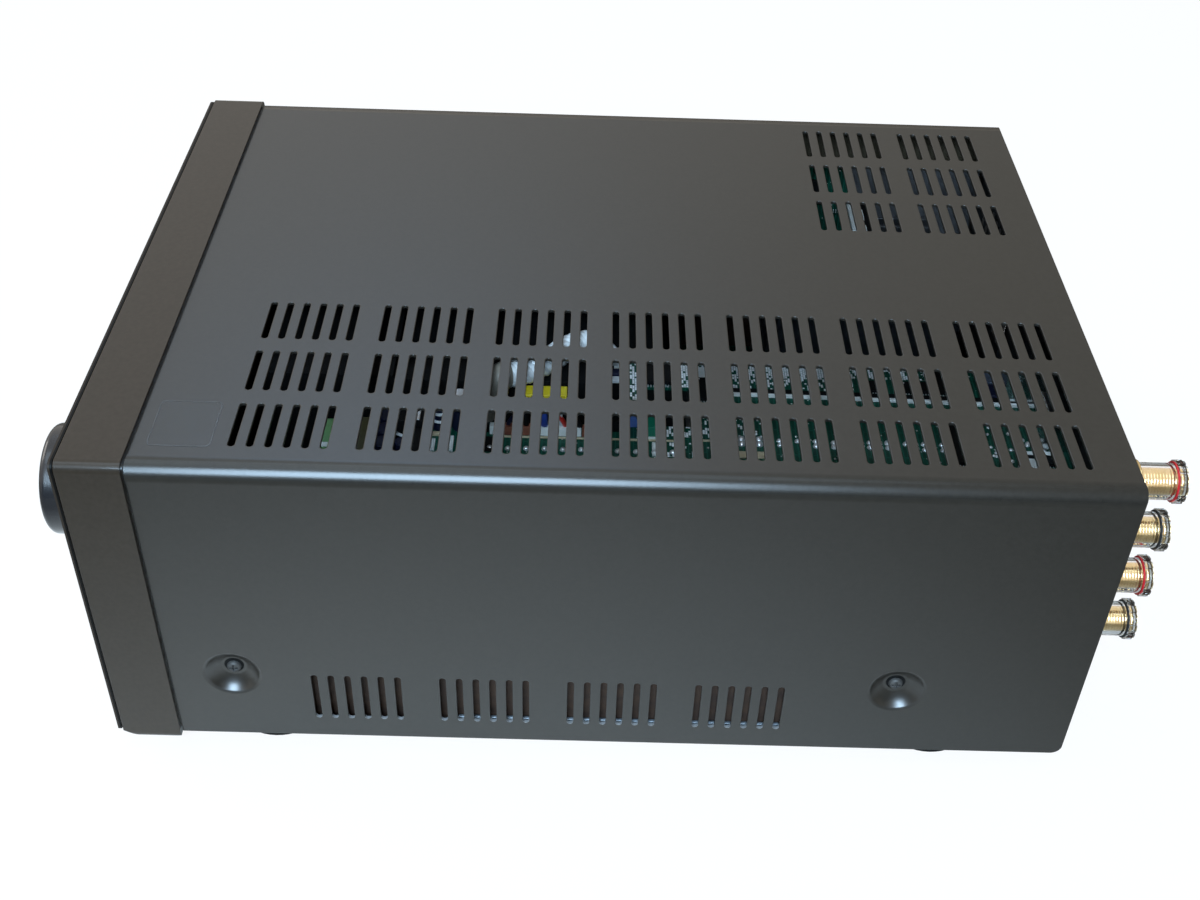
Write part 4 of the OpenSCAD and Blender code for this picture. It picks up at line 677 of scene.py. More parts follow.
def chip(shape, at, u, v, w, l, foot=0.0):
    """Black package with rows of tinned legs: paints 0 black, 1 solder, 2 print."""
    slab(shape, at, about(u, w), about(v, l), CHIP_H - CHIP_LIFT, 0, foot + CHIP_LIFT)
    mark_u, mark_v = u - w / 2 + MARK_IN, v - l / 2 + MARK_IN
    slab(shape, at, (mark_u, mark_u + MARK_W), (mark_v, mark_v + MARK_W), PRINT_T, 2, foot + CHIP_H, 0)
    for s in (-1, 1):
        for i in range(int(l / LEG_STEP)):
            leg_u, leg_v = u + s * (w + LEG_L) / 2, v - l / 2 + LEG_STEP * (i + 0.5)
            slab(shape, at, about(leg_u, LEG_L), about(leg_v, LEG_W), LEG_H, 1, foot, 0)


def can(shape, at, u, v, r, h, top=0, band=False):
    """Electrolytic capacitor with a rolled edge: paints 0 sleeve, 1 metal, 2 print."""
    to = upright(*at(u, v))
    shape.lathe([(r - 0.2, 0), (r, 0.3), (r, h - 0.5), (r - 0.3, h)], to, 0, 24)
    shape.lathe([(r - 0.5, h), (r - 0.6, h + 0.06)], to, top, 24)
    for share in (0.42, 0.78) if band else ():
        shape.ring(r, r + 0.05, upright(*at(u, v, share * h)), 0.14 * h, 2, 24)


def dome(shape, at, u, v, r):
    """Rounded solder joint."""
    profile = [(r, 0), (0.85 * r, 0.45 * r), (0.5 * r, 0.75 * r), (0.12 * r, 0.85 * r)]
    shape.lathe(profile, upright(*at(u, v)), 0, 10)


def curve(points, steps=8):
    """Smooth line through points."""
    points = [Vector(p) for p in points]
    ends = [2 * points[0] - points[1]] + points + [2 * points[-1] - points[-2]]
    line = []
    for a, b, c, d in zip(ends, ends[1:], ends[2:], ends[3:]):
        for i in range(steps):
            t = i / steps
            bend = (2 * a - 5 * b + 4 * c - d) * t ** 2 + (3 * b - a - 3 * c + d) * t ** 3
            line.append(0.5 * (2 * b + (c - a) * t + bend))
    return line + [points[-1]]


# Chips: where each has its middle, and its size
chips = Shape()
NET_CHIPS = [(11.6, 80.8, 13.4, 4.6), (15.6, 58.2, 5, 4.5), (15.6, 72, 5, 9), (19.4, 3.8, 11, 5),
             (42.6, 80.6, 21, 3.6), (42.6, 44.2, 21, 2), (50.6, 105.5, 4.2, 11), (67, 44, 16, 20),
             (69, 78, 9, 16), (73, 18, 7, 9)]
for u, v, w, l in NET_CHIPS:
    chip(chips, on_net, u, v, w, l)
chip(chips, on_power, 35, 77, 9, 14)
chip(chips, on_loader, -4.6, -11.2, 12, 4.6, LOADER_BOARD_T)
chip(chips, on_loader, -4.4, -6, 11.2, 4.2, LOADER_BOARD_T)
chips.make("board_chips", ["part_black", "solder", "print_white"], smooth=30)

# Solder joints: rows along the headers, and many near the rear corner
POWER_JOINTS, POWER_JOINT_U, POWER_JOINT_V = 21, 12.6, 46.2
NET_JOINTS, NET_JOINT_V = 20, 26
joints = Shape()
for i in range(POWER_JOINTS):
    u = POWER_JOINT_U + rng.uniform(-0.2, 0.2)
    dome(joints, on_power, u, POWER_JOINT_V + PIN_STEP * i, 1.0)
for i in range(NET_JOINTS):
    v = NET_JOINT_V + PIN_STEP * i
    for u in (43.6, 45.8):
        if rng.random() < 0.85:
            dome(joints, on_net, u + rng.uniform(-0.3, 0.3), v, rng.uniform(0.95, 1.2))
for v in (14.2, 19.6):
    for u in (43.4, 45.6):
        dome(joints, on_net, u, v, 1.3)
for count, v, r in ((70, (88, 112), (0.5, 0.85)), (40, (2, 80), (0.3, 0.5))):
    for _ in range(count):
        dome(joints, on_net, rng.uniform(33, 52), rng.uniform(*v), rng.uniform(*r))
joints.make("solder_joints", ["solder"], smooth=60)

# Headers and plugs: paints 0 white, 1 metal, 2 black, 3 brown, 4 beige
ROWS, ROW_V, ROW_STEP, ROW_U, ROW_LEAN = 9, 11, 11.1, 20.7, 0.22
plugs = Shape()
for k in range(ROWS):
    v, u = ROW_V + ROW_STEP * k, ROW_U + ROW_LEAN * k
    slab(plugs, on_net, (u - 2.4, u - 0.1), (v, v + 10.8), 0.9, 2)
    slab(plugs, on_net, (u, u + 1.1), (v, v + 10.6), 1.0, 0)
    for i in range(4):
        pin = v + 1.2 + PIN_STEP * i
        slab(plugs, on_net, (u + 0.3, u + 0.8), (pin, pin + 0.5), 0.4, 1, 1.0)
HEADERS = [(45.8, 47.2, 0), (49.8, 58.8, 3), (60.8, 70.2, 0), (72.3, 73.9, 0), (74.1, 76.2, 3),
           (86.0, 87.6, 0), (91.0, 92.6, 0)]
for v0, v1, paint in HEADERS:
    slab(plugs, on_power, HEADER_U, (v0, v1), HEADER_H, paint)
for i in range(3):
    pin = 61.8 + PIN_STEP * i
    slab(plugs, on_power, (4.6, 5.4), (pin, pin + 0.8), 0.15, 1, HEADER_H)
POWER_BLOCKS = [((6.9, 7.5), (48, 103.5), 0.5, 4), ((8.4, 14.6), (95.6, 97.2), 0.6, 0),
                ((8.6, 15), (33.6, 35.2), 1.2, 0), ((6.3, 7.8), (28, 31.4), 0.8, 4),
                ((7.6, 14.5), (43.2, 47), 0.5, 2), ((-0.8, 5.2), (41.4, 45.4), 5, 2),
                ((0, 3.4), (81.5, 87.5), 4, 2), ((5.7, 6.6), (94, 97.4), 0.5, 0),
                ((9.5, 15), (28.2, 29.6), 0.6, 0), ((13.2, 15.2), (-5.2, -2.6), 1.1, 0)]
NET_BLOCKS = [((44.3, 45), (1, 8), 0.5, 4), ((49.4, 52.4), (12.5, 21.5), 0.5, 4),
              ((45.8, 47.9), (100.5, 110), 0.6, 0), ((7.3, 12.6), (2, 5.2), 0.6, 0),
              ((57, 71), (96, 101), 7, 0)]
for at, blocks in ((on_power, POWER_BLOCKS), (on_net, NET_BLOCKS)):
    for u, v, h, paint in blocks:
        slab(plugs, at, u, v, h, paint)
slab(plugs, on_loader, (-10.8, -7.2), (-22.6, -19), 4, 0, BRIDGE_T)
plugs.make("board_plugs", ["part_white", "solder", "part_black", "part_rust", "part_beige"], ease=0.08)

# Power parts along the right-hand front
power = Shape()
POWER_PAINTS = ["part_black", "part_olive", "solder", "part_blue", "mask_painted_lit", "wire_grey",
                "capacitor_sleeve", "part_lime"]
BLACK, OLIVE, METAL, BLUE, LIT_MASK, GREY, NAVY, LIME = range(8)
slab(power, on_power, (9, 25), (6.5, 11.9), 8, OLIVE, taper=0.3)
slab(power, on_power, (3, 12), (17.7, 22.2), 9, BLACK, taper=0.3)
power.tube(curve([on_power(11.4, 17.8, 3.8), on_power(14, 20, 5), on_power(17.4, 23.8, 6)]), 0.55, GREY)
slab(power, on_power, (3, 12), (23, 27.2), 9, BLACK, taper=0.3)
slab(power, on_power, (5, 11.4), (23.6, 25.4), 0.5, METAL, 9)
slab(power, on_power, (12.4, 24), (23.4, 27), 7, BLACK, taper=0.3)
slab(power, on_power, (-1, 0.9), (88.4, 92.2), 4.2, BLUE, taper=0.2)
slab(power, on_power, (1.5, 15.5), (-5.6, -2.2), 0.8, LIME)
# Green block in the lighter mask colour, a painted lit patch
slab(power, on_power, (-0.6, 5.6), (94, 97.4), 4, LIT_MASK)
slab(power, on_loader, (-6, -3.2), (-23.6, -20.4), 1.2, NAVY, BRIDGE_T)
slab(power, on_loader, (-2.4, 0), (-23.6, -20.4), 1.0, GREY, BRIDGE_T)
power.make("power_parts", POWER_PAINTS, ease=0.1)

# Small resistors and capacitors with tinned ends, scattered over the boards
SMALLS, SMALL_H, END_L, END_IN, END_OVER = 90, 0.7, 0.3, 0.1, 0.03
SMALL_SIZES = [(1.6, 0.8), (0.8, 1.6), (2.0, 1.25), (1.25, 2.0)]
smalls = Shape()
for _ in range(SMALLS):
    if rng.random() < 0.6:
        at, u, v = on_net, rng.uniform(56.5, 84), rng.uniform(2, 112)
    else:
        at, u, v = on_power, rng.uniform(18, 45), rng.uniform(3, 100)
    w, l = rng.choice(SMALL_SIZES)
    slab(smalls, at, about(u, w), about(v, l), SMALL_H, rng.choice([0, 0, 1, 2]))
    du, dv = (w / 2 - END_IN, 0) if w > l else (0, l / 2 - END_IN)
    end_w, end_l = (END_L, l + 2 * END_OVER) if w > l else (w + 2 * END_OVER, END_L)
    for s in (-1, 1):
        slab(smalls, at, about(u + s * du, end_w), about(v + s * dv, end_l), SMALL_H + END_OVER, 3)
smalls.make("board_chip_parts", ["part_black", "part_beige", "part_blue", "solder"])

# Capacitor cans
cans = Shape()
for u in (8, 14.4, 20.8):
    can(cans, on_power, u, 15, 2.7, 8.5)
can(cans, on_power, 20, 20.4, 1.9, 8)
can(cans, on_power, 2.9, 30.6, 2.9, 8, band=True)
can(cans, on_power, 2.9, 36.8, 2.9, 13, top=1)
for v in (39, 59):
    can(cans, on_power, 40, v, 6.3, 14, top=1, band=True)
for at, u, v, r, h in [(on_power, 30, 69, 3.2, 7), (on_power, 32, 95, 3.2, 7), (on_net, 81, 34, 3.2, 7),
                       (on_net, 81, 94, 3.6, 9)]:
    can(cans, at, u, v, r, h, top=1)
cans.make("board_cans", ["capacitor_sleeve", "solder", "print_white"], smooth=30)

# Printed marks
marks = Shape()


def printing(at, u, v, share, foot=0.0):
    """Loose rows of printed bars over part of a board."""
    row = v[0]
    while row < v[1]:
        start = u[0]
        while start < u[1]:
            step = rng.uniform(0.6, 2.2)
            if rng.random() < share:
                end = min(start + step - PRINT_GAP, u[1])
                slab(marks, at, (start, end), (row, row + PRINT_W), PRINT_T, 0, foot, 0)
            start += step
        row += PRINT_STEP


printing(on_net, (4.2, 11.5), (11, 52), 0.85)
printing(on_net, (11.5, 17.5), (11, 52), 0.40)
printing(on_net, (4.2, 10.5), (52, 78), 0.70)
printing(on_net, (33, 43), (1, 9), 0.35)
printing(on_net, (33, 42), (12, 21), 0.25)
printing(on_net, (4.4, 7), (2, 5.5), 0.6)
printing(on_power, (0, 5), (98, 108.4), 0.4)
printing(on_power, (7.8, 14.5), (98, 108.4), 0.3)
printing(on_loader, (-11, 8.6), (-18.4, -14.8), 0.65, LOADER_BOARD_T)
printing(on_loader, (-11, 1.8), (-3.4, 0.8), 0.65, LOADER_BOARD_T)
marks.make("board_print", ["print_white"])

# Small boards: one on the loader's edge, one before the power board and one behind it
small_boards = Shape()
small_boards.prism([(-11.2, -18.6), (8.8, -18.6), (8.8, -14.6), (2, -14.6), (2, 1), (-11.2, 1)],
                   on_loader, LOADER_BOARD_T)
power_l = POWER_HI[1] - POWER_LO[1]
for v0, v1 in ((-8, 0), (power_l, NET_LO[1] - POWER_LO[1])):
    outline = [(0.5, v0), (17, v0), (17, v1), (0.5, v1)]
    small_boards.prism(outline, upright(*on_power(0, 0, -BOARD_T)), BOARD_T)
small_boards.make("small_boards", ["circuit_board"])

# Tin shield at the rear right corner
shield = Shape()
slab(shield, on_net, (4.5, 12.4), (93, 113.5), 1.3, 0, taper=0.2)
slab(shield, on_net, (12.7, 19.2), (93, 113.5), 1.0, 1)
shield.make("tuner_shield", ["shield_tin", "capacitor_sleeve"], ease=0.1)

# Bridge over the tray that carries the lead
bridge = Shape()
BRIDGE_V = (-59.0, -18.8)
bridge_w, bridge_l = LOADER_HI[0] - LOADER_LO[0], BRIDGE_V[1] - BRIDGE_V[0]
bridge_at = upright(*on_loader(-bridge_w / 2, sum(BRIDGE_V) / 2))
bridge.prism(rounded(bridge_w, bridge_l, 3), bridge_at, BRIDGE_T)
for v in (BRIDGE_V[0] + 2, BRIDGE_V[1] - 8):
    slab(bridge, on_loader, (8 - bridge_w, -50), (v, v + 1), 0.8, 0, BRIDGE_T)
bridge.make("lead_bridge", ["black_plastic"])

# Taped transformer on the power board
TAPED_V, TAPED_U, TAPED_H = (56.0, 69.5), (-2.4, 3.0), 13.0
TAPED_FOOT = 2.0
taped = Shape()
slab(taped, on_power, (0.2, TAPED_U[1] + 0.6), (TAPED_V[0] - 3, TAPED_V[1] + 3), TAPED_FOOT, 1)
slab(taped, on_power, TAPED_U, TAPED_V, TAPED_H - TAPED_FOOT, 0, TAPED_FOOT, 0.2)
slab(taped, on_power, (TAPED_U[1], TAPED_U[1] + 0.6), (TAPED_V[0] - 0.5, TAPED_V[1] + 0.5),
     TAPED_H - TAPED_FOOT - 1.6, 1, TAPED_FOOT)
for v in (TAPED_V[0] - 2.2, TAPED_V[1] + 0.2):
    slab(taped, on_power, TAPED_U, (v, v + 2), TAPED_H - TAPED_FOOT - 0.4, 1, TAPED_FOOT)
taped.make("taped_transformer", ["yellow_tape", "part_black"], ease=0.2)

# Wires: a twisted lead across the bridge, and leads from the headers over the transformer
TWIST_R, STRAND_R, STRANDS = 2.8, 1.4, 6
TWIST_STEPS, SLEEVE_STEPS, GATHER_STEPS = 14, 21, 24
SLEEVE_R = TWIST_R + STRAND_R + 0.05
LEAD_H = BRIDGE_T + SLEEVE_R
LEAD_UV = [(4, -56.8), (2, -52.6), (-0.5, -47.8), (-5.5, -42.4), (-11.5, -37), (-14.5, -31.6),
           (-12, -27.4), (-9.2, -24.2)]
lead = curve([on_power(2.2, 43.4, 4.8), on_power(1.8, 45.2, 11)]
             + [on_loader(u, v, LEAD_H) for u, v in LEAD_UV] + [on_loader(-9, -21, BRIDGE_T + 2.4)])
wires = Shape()
for k in range(STRANDS):
    strand = []
    for i, p in enumerate(lead):
        ahead = (lead[min(i + 1, len(lead) - 1)] - lead[max(i - 1, 0)]).normalized()
        side = ahead.cross(Vector((0, 0, 1))).normalized()
        a = 2 * math.pi * (i / TWIST_STEPS + k / STRANDS)
        spread = TWIST_R * min(1, 0.35 + min(i, len(lead) - 1 - i) / GATHER_STEPS)
        strand.append(p + spread * (math.cos(a) * side + math.sin(a) * ahead.cross(side)))
    wires.tube(strand, STRAND_R, 0, 10)
# Darker brown-grey sleeve over the first part of the lead, where the lead shows dimmer
wires.tube(lead[:SLEEVE_STEPS], SLEEVE_R, 5, 14)
RISE = [(4.6, 0, HEADER_H - 0.1), (5.2, 0.15, 5), (5.4, 0.5, 7.6), (4.7, 0.8, 9.6), (3.2, 1, 10.4)]
HEADER_LEADS = [(51.4, -4.8, 3, 0.7), (57.0, 0.3, 4, 0.8), (62.6, 0.4, 2, 1.15), (69.0, 4.2, 1, 0.8),
                (67.6, 0.2, 0, 0.6), (73.4, 4.2, 4, 1.0)]
for v, lean, paint, r in HEADER_LEADS:
    wires.tube(curve([on_power(u, v - share * lean, h) for u, share, h in RISE]), r, paint)
WIRE_PAINTS = ["wire_grey", "wire_red", "wire_blue", "capacitor_sleeve", "part_black", "brown_grey_sleeve"]
wires.make("board_wires", WIRE_PAINTS, smooth=60)

# Upright board on the heatsink, with a plug that carries a white strip
SINK_LO, SINK_HI = mm_box("heatsink")
SENSOR_U, SENSOR_V, SENSOR_H = (10, 11.6), (9, 28.5), 27.4
PLUG_U, PLUG_V, PLUG_H = (11.6, 33), (28.3, 36.2), 12.0
# Places on the heatsink, from its front left corner
on_sink = upright(SINK_LO[0], SINK_LO[1], SINK_HI[2])
upper = Shape()
slab(upper, on_sink, SENSOR_U, SENSOR_V, SENSOR_H, taper=0)
slab(upper, on_sink, SENSOR_U, (SENSOR_V[1], PLUG_V[1]), PLUG_H, taper=0)
upper.make("sensor_board", ["circuit_board"], ease=0.15)
upper_parts = Shape()
slab(upper_parts, on_sink, PLUG_U, PLUG_V, 1.2, 2, PLUG_H - 1.2)
slab(upper_parts, on_sink, PLUG_U, (PLUG_V[0], PLUG_V[0] + 1.4), 1.2, 0, PLUG_H)
for u in ((17, 24), (28, 33)):
    slab(upper_parts, on_sink, u, (33.0, 33.9), 0.8, 0, PLUG_H)
slab(upper_parts, on_sink, (11.6, 13), (12, 20), 10, 2, 12)
for i in range(6):
    slab(upper_parts, on_sink, (11.6, 12.2), (22 + 0.9 * i, 22.4 + 0.9 * i), 1.5, 1, 8)
upper_parts.make("sensor_board_parts", ["part_white", "solder", "part_black"], ease=0.15)

# Behind the side slots: insulating sheets and rails on the pan's floor, the sheets' dark brown partly a
# painted shade of the space there; and pale strips on the slots' lower edges, a painted highlight for the
# glint of those edges
FLOOR_Z, SHEET_TOP, SHEET_X, SHEET_T, SHEET_FOLD = 9.0, 56.0, 101.8, 0.4, 3.0
SHEET_Y = (COVER_LO[1] + 28, COVER_LO[1] + 214)
RAIL_X, RAIL_TOP, RAIL_R, RAIL_L = 103.25, 15.2, 0.75, 128.0
COVER_T, SLOT_R, SLOT_STEP, SLOT_COUNT = 1.0, 1.025, 5.1, 6
SIDE_SLOT_Y, SIDE_SLOT_Z = COVER_LO[1] + 43.9, COVER_LO[2] + 8.2
SIDE_GROUPS, SIDE_GROUP_STEP, GLINT_W = 4, 39.3, 0.08


def lengthwise(s, y):
    """Profile (x, z) drawn to the rear from y, on the right for s 1 and on the left for s -1."""
    return lambda u, v, w: (s * u, y + w, v)


fold_x, fold_z = SHEET_X - SHEET_FOLD, SHEET_TOP + SHEET_FOLD
SHEET_PROFILE = [(SHEET_X, FLOOR_Z), (SHEET_X + SHEET_T, FLOOR_Z), (SHEET_X + SHEET_T, SHEET_TOP),
                 (fold_x, fold_z), (fold_x - SHEET_T, fold_z), (SHEET_X, SHEET_TOP - SHEET_T / 2)]
crown = [(RAIL_X + u, RAIL_TOP - RAIL_R + v) for u, v in arc(RAIL_R, 0, 180, 8)]
RAIL_PROFILE = crown + [(RAIL_X - RAIL_R, FLOOR_Z), (RAIL_X + RAIL_R, FLOOR_Z)]
for s, side in ((1, "right"), (-1, "left")):
    # Dark brown sheet, partly a painted shade of the space behind the slots
    sheet = Shape()
    sheet.prism(SHEET_PROFILE, lengthwise(s, SHEET_Y[0]), SHEET_Y[1] - SHEET_Y[0])
    sheet.make(f"insulating_sheet_and_shade_{side}", ["sheet_brown_and_shade"])
    rail = Shape()
    rail.prism(RAIL_PROFILE, lengthwise(s, SHEET_Y[1] - RAIL_L), RAIL_L)
    rail.make(f"floor_rail_{side}", ["rail_zinc"])
    # Pale strip on each slot's lower edge, a painted highlight
    edges = Shape()
    for group in range(SIDE_GROUPS):
        for i in range(SLOT_COUNT):
            y = SIDE_SLOT_Y + SIDE_GROUP_STEP * group + SLOT_STEP * i
            to = sideways(s * (COVER_HI[0] - COVER_T), y, SIDE_SLOT_Z + SLOT_R, s)
            edges.prism(arc_band(SLOT_R, GLINT_W, 195, 345, 10), to, COVER_T)
    edges.make(f"slot_edge_glints_{side}", ["edge_glint"])

# Sheet on the inside of the cover's left wall, olive above blue grey: painted light, the tones the wall
# shows where light falls on it through the top slots
LIT_WALL_L, LIT_WALL_Y, LIT_WALL_T = 78.0, COVER_HI[1] - 42.3, 0.4
lit_wall = Shape()
for paint, z0, z1 in ((0, 65, 101), (1, 101.4, 113.4)):
    to = sideways(COVER_LO[0] + COVER_T, LIT_WALL_Y, (z0 + z1) / 2)
    lit_wall.prism(rounded(LIT_WALL_L, z1 - z0, 2), to, LIT_WALL_T, paint)
lit_wall.make("cover_lit_wall", ["lit_wall_grey", "lit_wall_olive"])


# Signs on the keys

SIGN_T, SIGN_H, STROKE, ARROW_W = 0.05, 2.4, 0.5, 1.7


def sign(key, outlines):
    """Thin printed signs on the front of a key."""
    lo, hi = mm_box(key + "_button")
    x, z = (lo[0] + hi[0]) / 2, (lo[2] + hi[2]) / 2
    s = Shape()
    for outline in outlines:
        s.prism(outline, forward(x, lo[1], z), SIGN_T)
    s.make(key + "_button_sign", ["print_white"], key + "_key")


def bar(x, w=STROKE, h=SIGN_H, y=0.0):
    """Outline of an upright bar about (x, y)."""
    return [(x - w / 2, y - h / 2), (x + w / 2, y - h / 2), (x + w / 2, y + h / 2), (x - w / 2, y + h / 2)]


def arrow(x, s=1):
    """Outline of a triangle that points right for s 1 and left for s -1."""
    half = s * ARROW_W / 2
    return [(x - half, -SIGN_H / 2), (x + half, 0), (x - half, SIGN_H / 2)]


sign("play", [arrow(-0.9), bar(1.3), bar(2.2)])
sign("stop", [bar(0, 2.2, 2.2)])
sign("previous", [bar(-1.9), arrow(-0.75, -1), arrow(0.95, -1)])
sign("next", [arrow(-0.95), arrow(0.75), bar(1.9)])
sign("eject", [[(-1.4, -0.3), (1.4, -0.3), (0, 1.3)], bar(0, 2.8, STROKE, -1.05)])
sign("source", [disc(x, 0.5) for x in (-2.0, 0, 2.0)])
sign("power", [arc_band(2.3, STROKE, 125, 415), bar(0, STROKE, 2.2, 1.8)])


# Rear sockets

JACK_LO, JACK_HI = mm_box("jack_sleeves")
JACK_R, COLLAR_IN, COLLAR_OUT, COLLAR_T = 5.0, 5.4, 7.0, 0.9
TIP_IN, TIP_OUT, TIP_T = 1.75, 3.3, 0.25
PANEL_Y = mm_box("rear_panel")[1][1]
for k, x in enumerate((JACK_LO[0] + JACK_R, JACK_HI[0] - JACK_R)):
    for row, z in enumerate((JACK_LO[2] + JACK_R, JACK_HI[2] - JACK_R)):
        collar = Shape()
        collar.ring(COLLAR_IN, COLLAR_OUT, rearward(x, PANEL_Y, z), COLLAR_T)
        collar.ring(TIP_IN, TIP_OUT, rearward(x, JACK_HI[1], z), TIP_T)
        collar.make(f"jack_collar_{2 * k + row + 1}", ["ring_red" if row == 0 else "ring_white"])

LAN_LO, LAN_HI = mm_box("lan_socket")
LAN_X, MOUTH_TOP = (LAN_LO[0] + LAN_HI[0]) / 2, LAN_LO[2] + 10.5
CONTACTS, CONTACT_STEP, CONTACT_R = 8, 1.02, 0.2
# Each contact runs along the mouth's roof and springs back down: distance in, distance below the roof
CONTACT_RUN = [(11.5, 0.4), (4.5, 0.5), (3.2, 0.9), (9.5, 3.4)]
LAMP_X, LAMP_W, LAMP_H, LAMP_DROP, LAMP_SUNK, LAMP_OUT = 6.6, 2.0, 1.5, 0.9, 0.2, 0.15
lan = Shape()
for i in range(CONTACTS):
    x = LAN_X + CONTACT_STEP * (i - (CONTACTS - 1) / 2)
    run = [(x, LAN_HI[1] - deep, MOUTH_TOP - down) for deep, down in CONTACT_RUN]
    lan.tube(run, CONTACT_R, 0, 6)
lan.make("lan_contacts", ["contact_gold"], smooth=60)
lamps = Shape()
for paint, s in enumerate((-1, 1)):
    (x0, x1), z = about(LAN_X + s * LAMP_X, LAMP_W), LAN_HI[2] - LAMP_DROP
    lamps.box((x0, LAN_HI[1] - LAMP_SUNK, z - LAMP_H), (x1, LAN_HI[1] + LAMP_OUT, z), paint)
lamps.make("lan_lamps", ["led_green", "led_amber"], ease=0.1)

INLET_LO, INLET_HI = mm_box("mains_inlet")
INLET_X, INLET_Z = (INLET_LO[0] + INLET_HI[0]) / 2, (INLET_LO[2] + INLET_HI[2]) / 2
INLET_PIN = [(1.22, 0.02), (1.22, 8.4), (1.05, 8.9), (0.6, 9.15)]
INLET_PIN_X, INLET_DEEP = 4.3, 14.0
pins = Shape()
for s in (-1, 1):
    pin_at = rearward(INLET_X + s * INLET_PIN_X, INLET_HI[1] - INLET_DEEP, INLET_Z)
    pins.lathe(INLET_PIN, pin_at, steps=24)
pins.make("inlet_pins", ["tinned_shell"], smooth=50)

AERIAL_LO, AERIAL_HI = mm_box("antenna_socket")
AERIAL_X, AERIAL_Z = (AERIAL_LO[0] + AERIAL_HI[0]) / 2, AERIAL_LO[2] + 5
NUT_IN, NUT_OUT, NUT_T = 4.9, 6.6, 1.5
CORE_IN, CORE_OUT, CORE_T = 1.0, 3.6, 0.12
nut = Shape()
nut.ring(NUT_IN, NUT_OUT, rearward(AERIAL_X, PANEL_Y, AERIAL_Z), NUT_T, 0, 6)
nut.ring(CORE_IN, CORE_OUT, rearward(AERIAL_X, AERIAL_HI[1], AERIAL_Z), CORE_T, 1)
nut.make("aerial_nut", ["tinned_shell", "part_white"], ease=0.15)


# Floor, light and camera

FLOOR_SIZE, FLOOR_TONE, FLOOR_SHIFT = 6.0, 0.86, (0, 0.06, 0)
FLOOR_NEAR, FLOOR_FAR = 0.13, 0.31
ROOM_LOW_X, ROOM_LOW_Z, ROOM_DARK = 0.6, 0.42, 0.85


def floor_paint():
    """Pale to the camera; in reflections its tone falls off away from the part, a painted shade of the far
    floor.
    """
    m = bpy.data.materials.new("floor_pale")
    m.use_nodes = True
    tree = m.node_tree
    tree.nodes.clear()
    out = add(tree, "OutputMaterial")
    seen = add(tree, "LightPath").outputs["Is Camera Ray"]
    span = measure(tree, "LENGTH", place(tree, shift=FLOOR_SHIFT))["Value"]
    lit_near_shaded_far = [(FLOOR_NEAR, grey(0.82, 0.10)), (FLOOR_FAR, grey(0.16, 0.22))]
    diffuse = add(tree, "BsdfDiffuse")
    link(tree, blend(tree, seen, ramp(tree, span, lit_near_shaded_far), grey(FLOOR_TONE)), diffuse.inputs["Color"])
    glow = add(tree, "Emission", Color=(1, 1, 1, 1), Strength=1.0)
    mixed = join(tree, maths(tree, "MULTIPLY", seen, FLOOR_TONE), diffuse, glow)
    link(tree, mixed.outputs[0], out.inputs["Surface"])
    return m


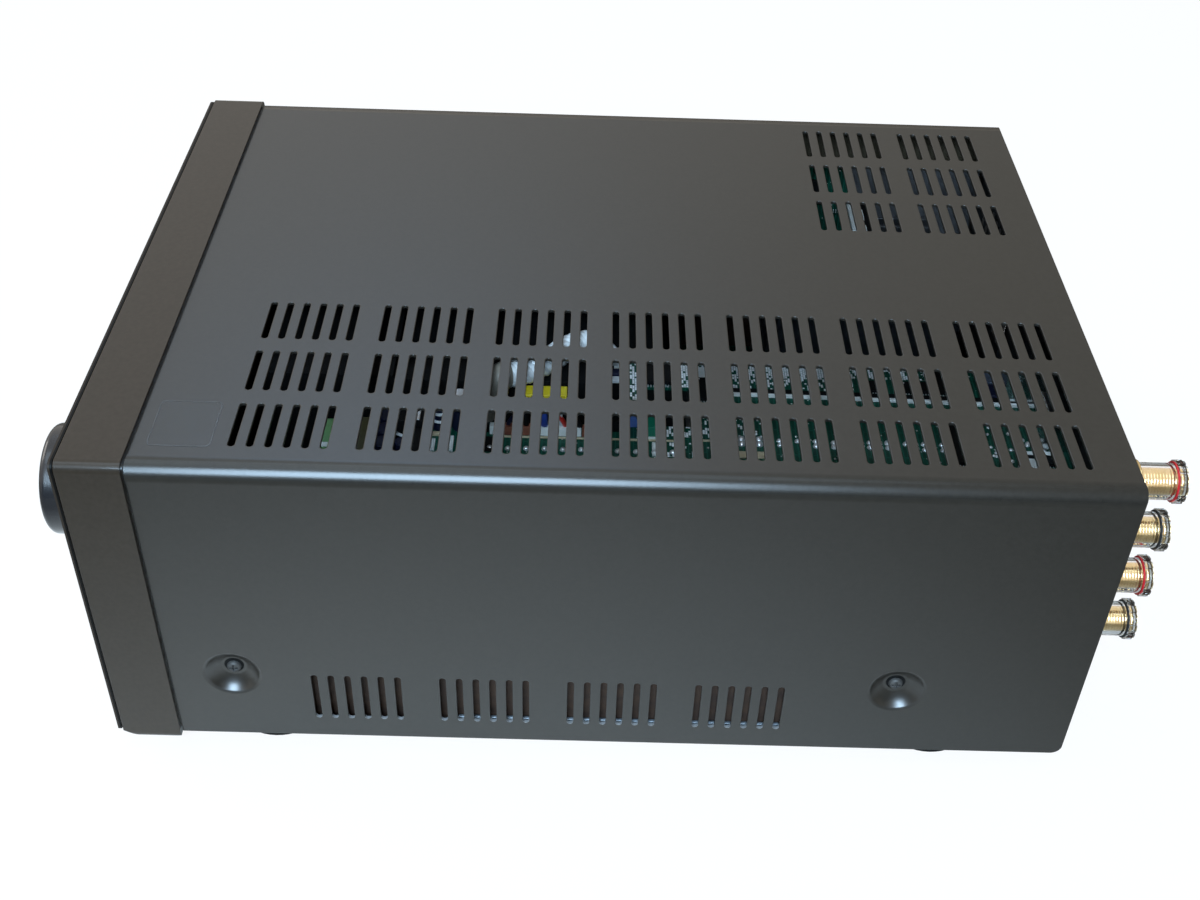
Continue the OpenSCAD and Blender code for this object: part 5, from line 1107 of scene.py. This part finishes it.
def studio():
    """White to the camera and through glass; reflections show it dimmer to the rear and low on the right."""
    world = bpy.data.worlds.new("studio")
    world.use_nodes = True
    tree = world.node_tree
    tree.nodes.clear()
    out = add(tree, "OutputWorld")
    path = add(tree, "LightPath").outputs
    room = add(tree, "Background", Color=(1.0, 0.96, 0.90, 1), Strength=0.35)
    way = split(tree, add(tree, "TexCoord").outputs["Generated"])
    rearwards = maths(tree, "ADD", maths(tree, "MULTIPLY", way["Y"], 0.5), 0.5)
    low = maths(tree, "MULTIPLY", maths(tree, "GREATER_THAN", way["X"], ROOM_LOW_X),
                maths(tree, "LESS_THAN", way["Z"], ROOM_LOW_Z))
    mirrored = add(tree, "Background")
    power = maths(tree, "SUBTRACT", 1.0, maths(tree, "MULTIPLY", low, ROOM_DARK))
    link(tree, power, mirrored.inputs["Strength"])
    tones = [(0.42, (0.86, 0.81, 0.74)), (0.66, (0.47, 0.43, 0.36))]
    link(tree, ramp(tree, rearwards, tones), mirrored.inputs["Color"])
    white = add(tree, "Background", Color=(1, 1, 1, 1), Strength=1.0)
    glossy = join(tree, path["Is Glossy Ray"], room, mirrored)
    seen = maths(tree, "MAXIMUM", path["Is Camera Ray"], path["Is Transmission Ray"])
    link(tree, join(tree, seen, glossy, white).outputs[0], out.inputs["Surface"])
    return world


def softbox(name, at, aim, size, power, colour):
    """Soft area light at a place, aimed at another."""
    data = bpy.data.lights.new(name, "AREA")
    data.shape = "RECTANGLE"
    data.size, data.size_y = size
    data.energy = power
    data.color = colour
    o = bpy.data.objects.new(name, data)
    o.location = at
    o.rotation_euler = (Vector(aim) - Vector(at)).to_track_quat("-Z", "Y").to_euler()
    scene.collection.objects.link(o)


corners = [(sx * FLOOR_SIZE, sy * FLOOR_SIZE, 0) for sx, sy in ((-1, -1), (1, -1), (1, 1), (-1, 1))]
floor_mesh = bpy.data.meshes.new("floor")
floor_mesh.from_pydata(corners, [], [(0, 1, 2, 3)])
floor_mesh.materials.append(floor_paint())
floor = bpy.data.objects.new("floor", floor_mesh)
scene.collection.objects.link(floor)

scene.world = studio()
softbox("window_light", (1.95, -0.33, 1.63), (0.10, -0.05, 0.11), (1.0, 1.1), 118.0, (0.54, 0.77, 1.0))
softbox("front_light", (-0.6, -1.9, 1.2), (0.0, 0.0, 0.06), (1.2, 1.0), 14.0, (1.0, 0.96, 0.90))
softbox("left_light", (-1.38, -0.36, 1.75), (0.05, -0.05, 0.11), (0.7, 0.5), 5.0, (0.36, 0.64, 1.0))
softbox("ceiling_light", (0.3, -0.3, 2.0), (0.05, -0.03, 0.11), (1.3, 1.3), 10.0, (0.62, 0.82, 1.0))

CAMERA_AT = (0.41120, -0.00789, 0.38323)
CAMERA_TURN = (1.6750211, 1.7135672, -0.7726702)
camera = bpy.data.cameras.new("camera")
camera.sensor_width = 36.0
camera.sensor_fit = "HORIZONTAL"
camera.lens = 44.727
camera.clip_start = 0.01
turn = Vector(CAMERA_TURN)
to_view = Matrix.Rotation(turn.length, 3, turn.normalized())
eye = bpy.data.objects.new("camera", camera)
facing = to_view.transposed() @ Matrix.Diagonal((1, -1, -1))
eye.matrix_world = Matrix.Translation(CAMERA_AT) @ facing.to_4x4()
scene.collection.objects.link(eye)
scene.camera = eye
scene.view_settings.view_transform = "Standard"
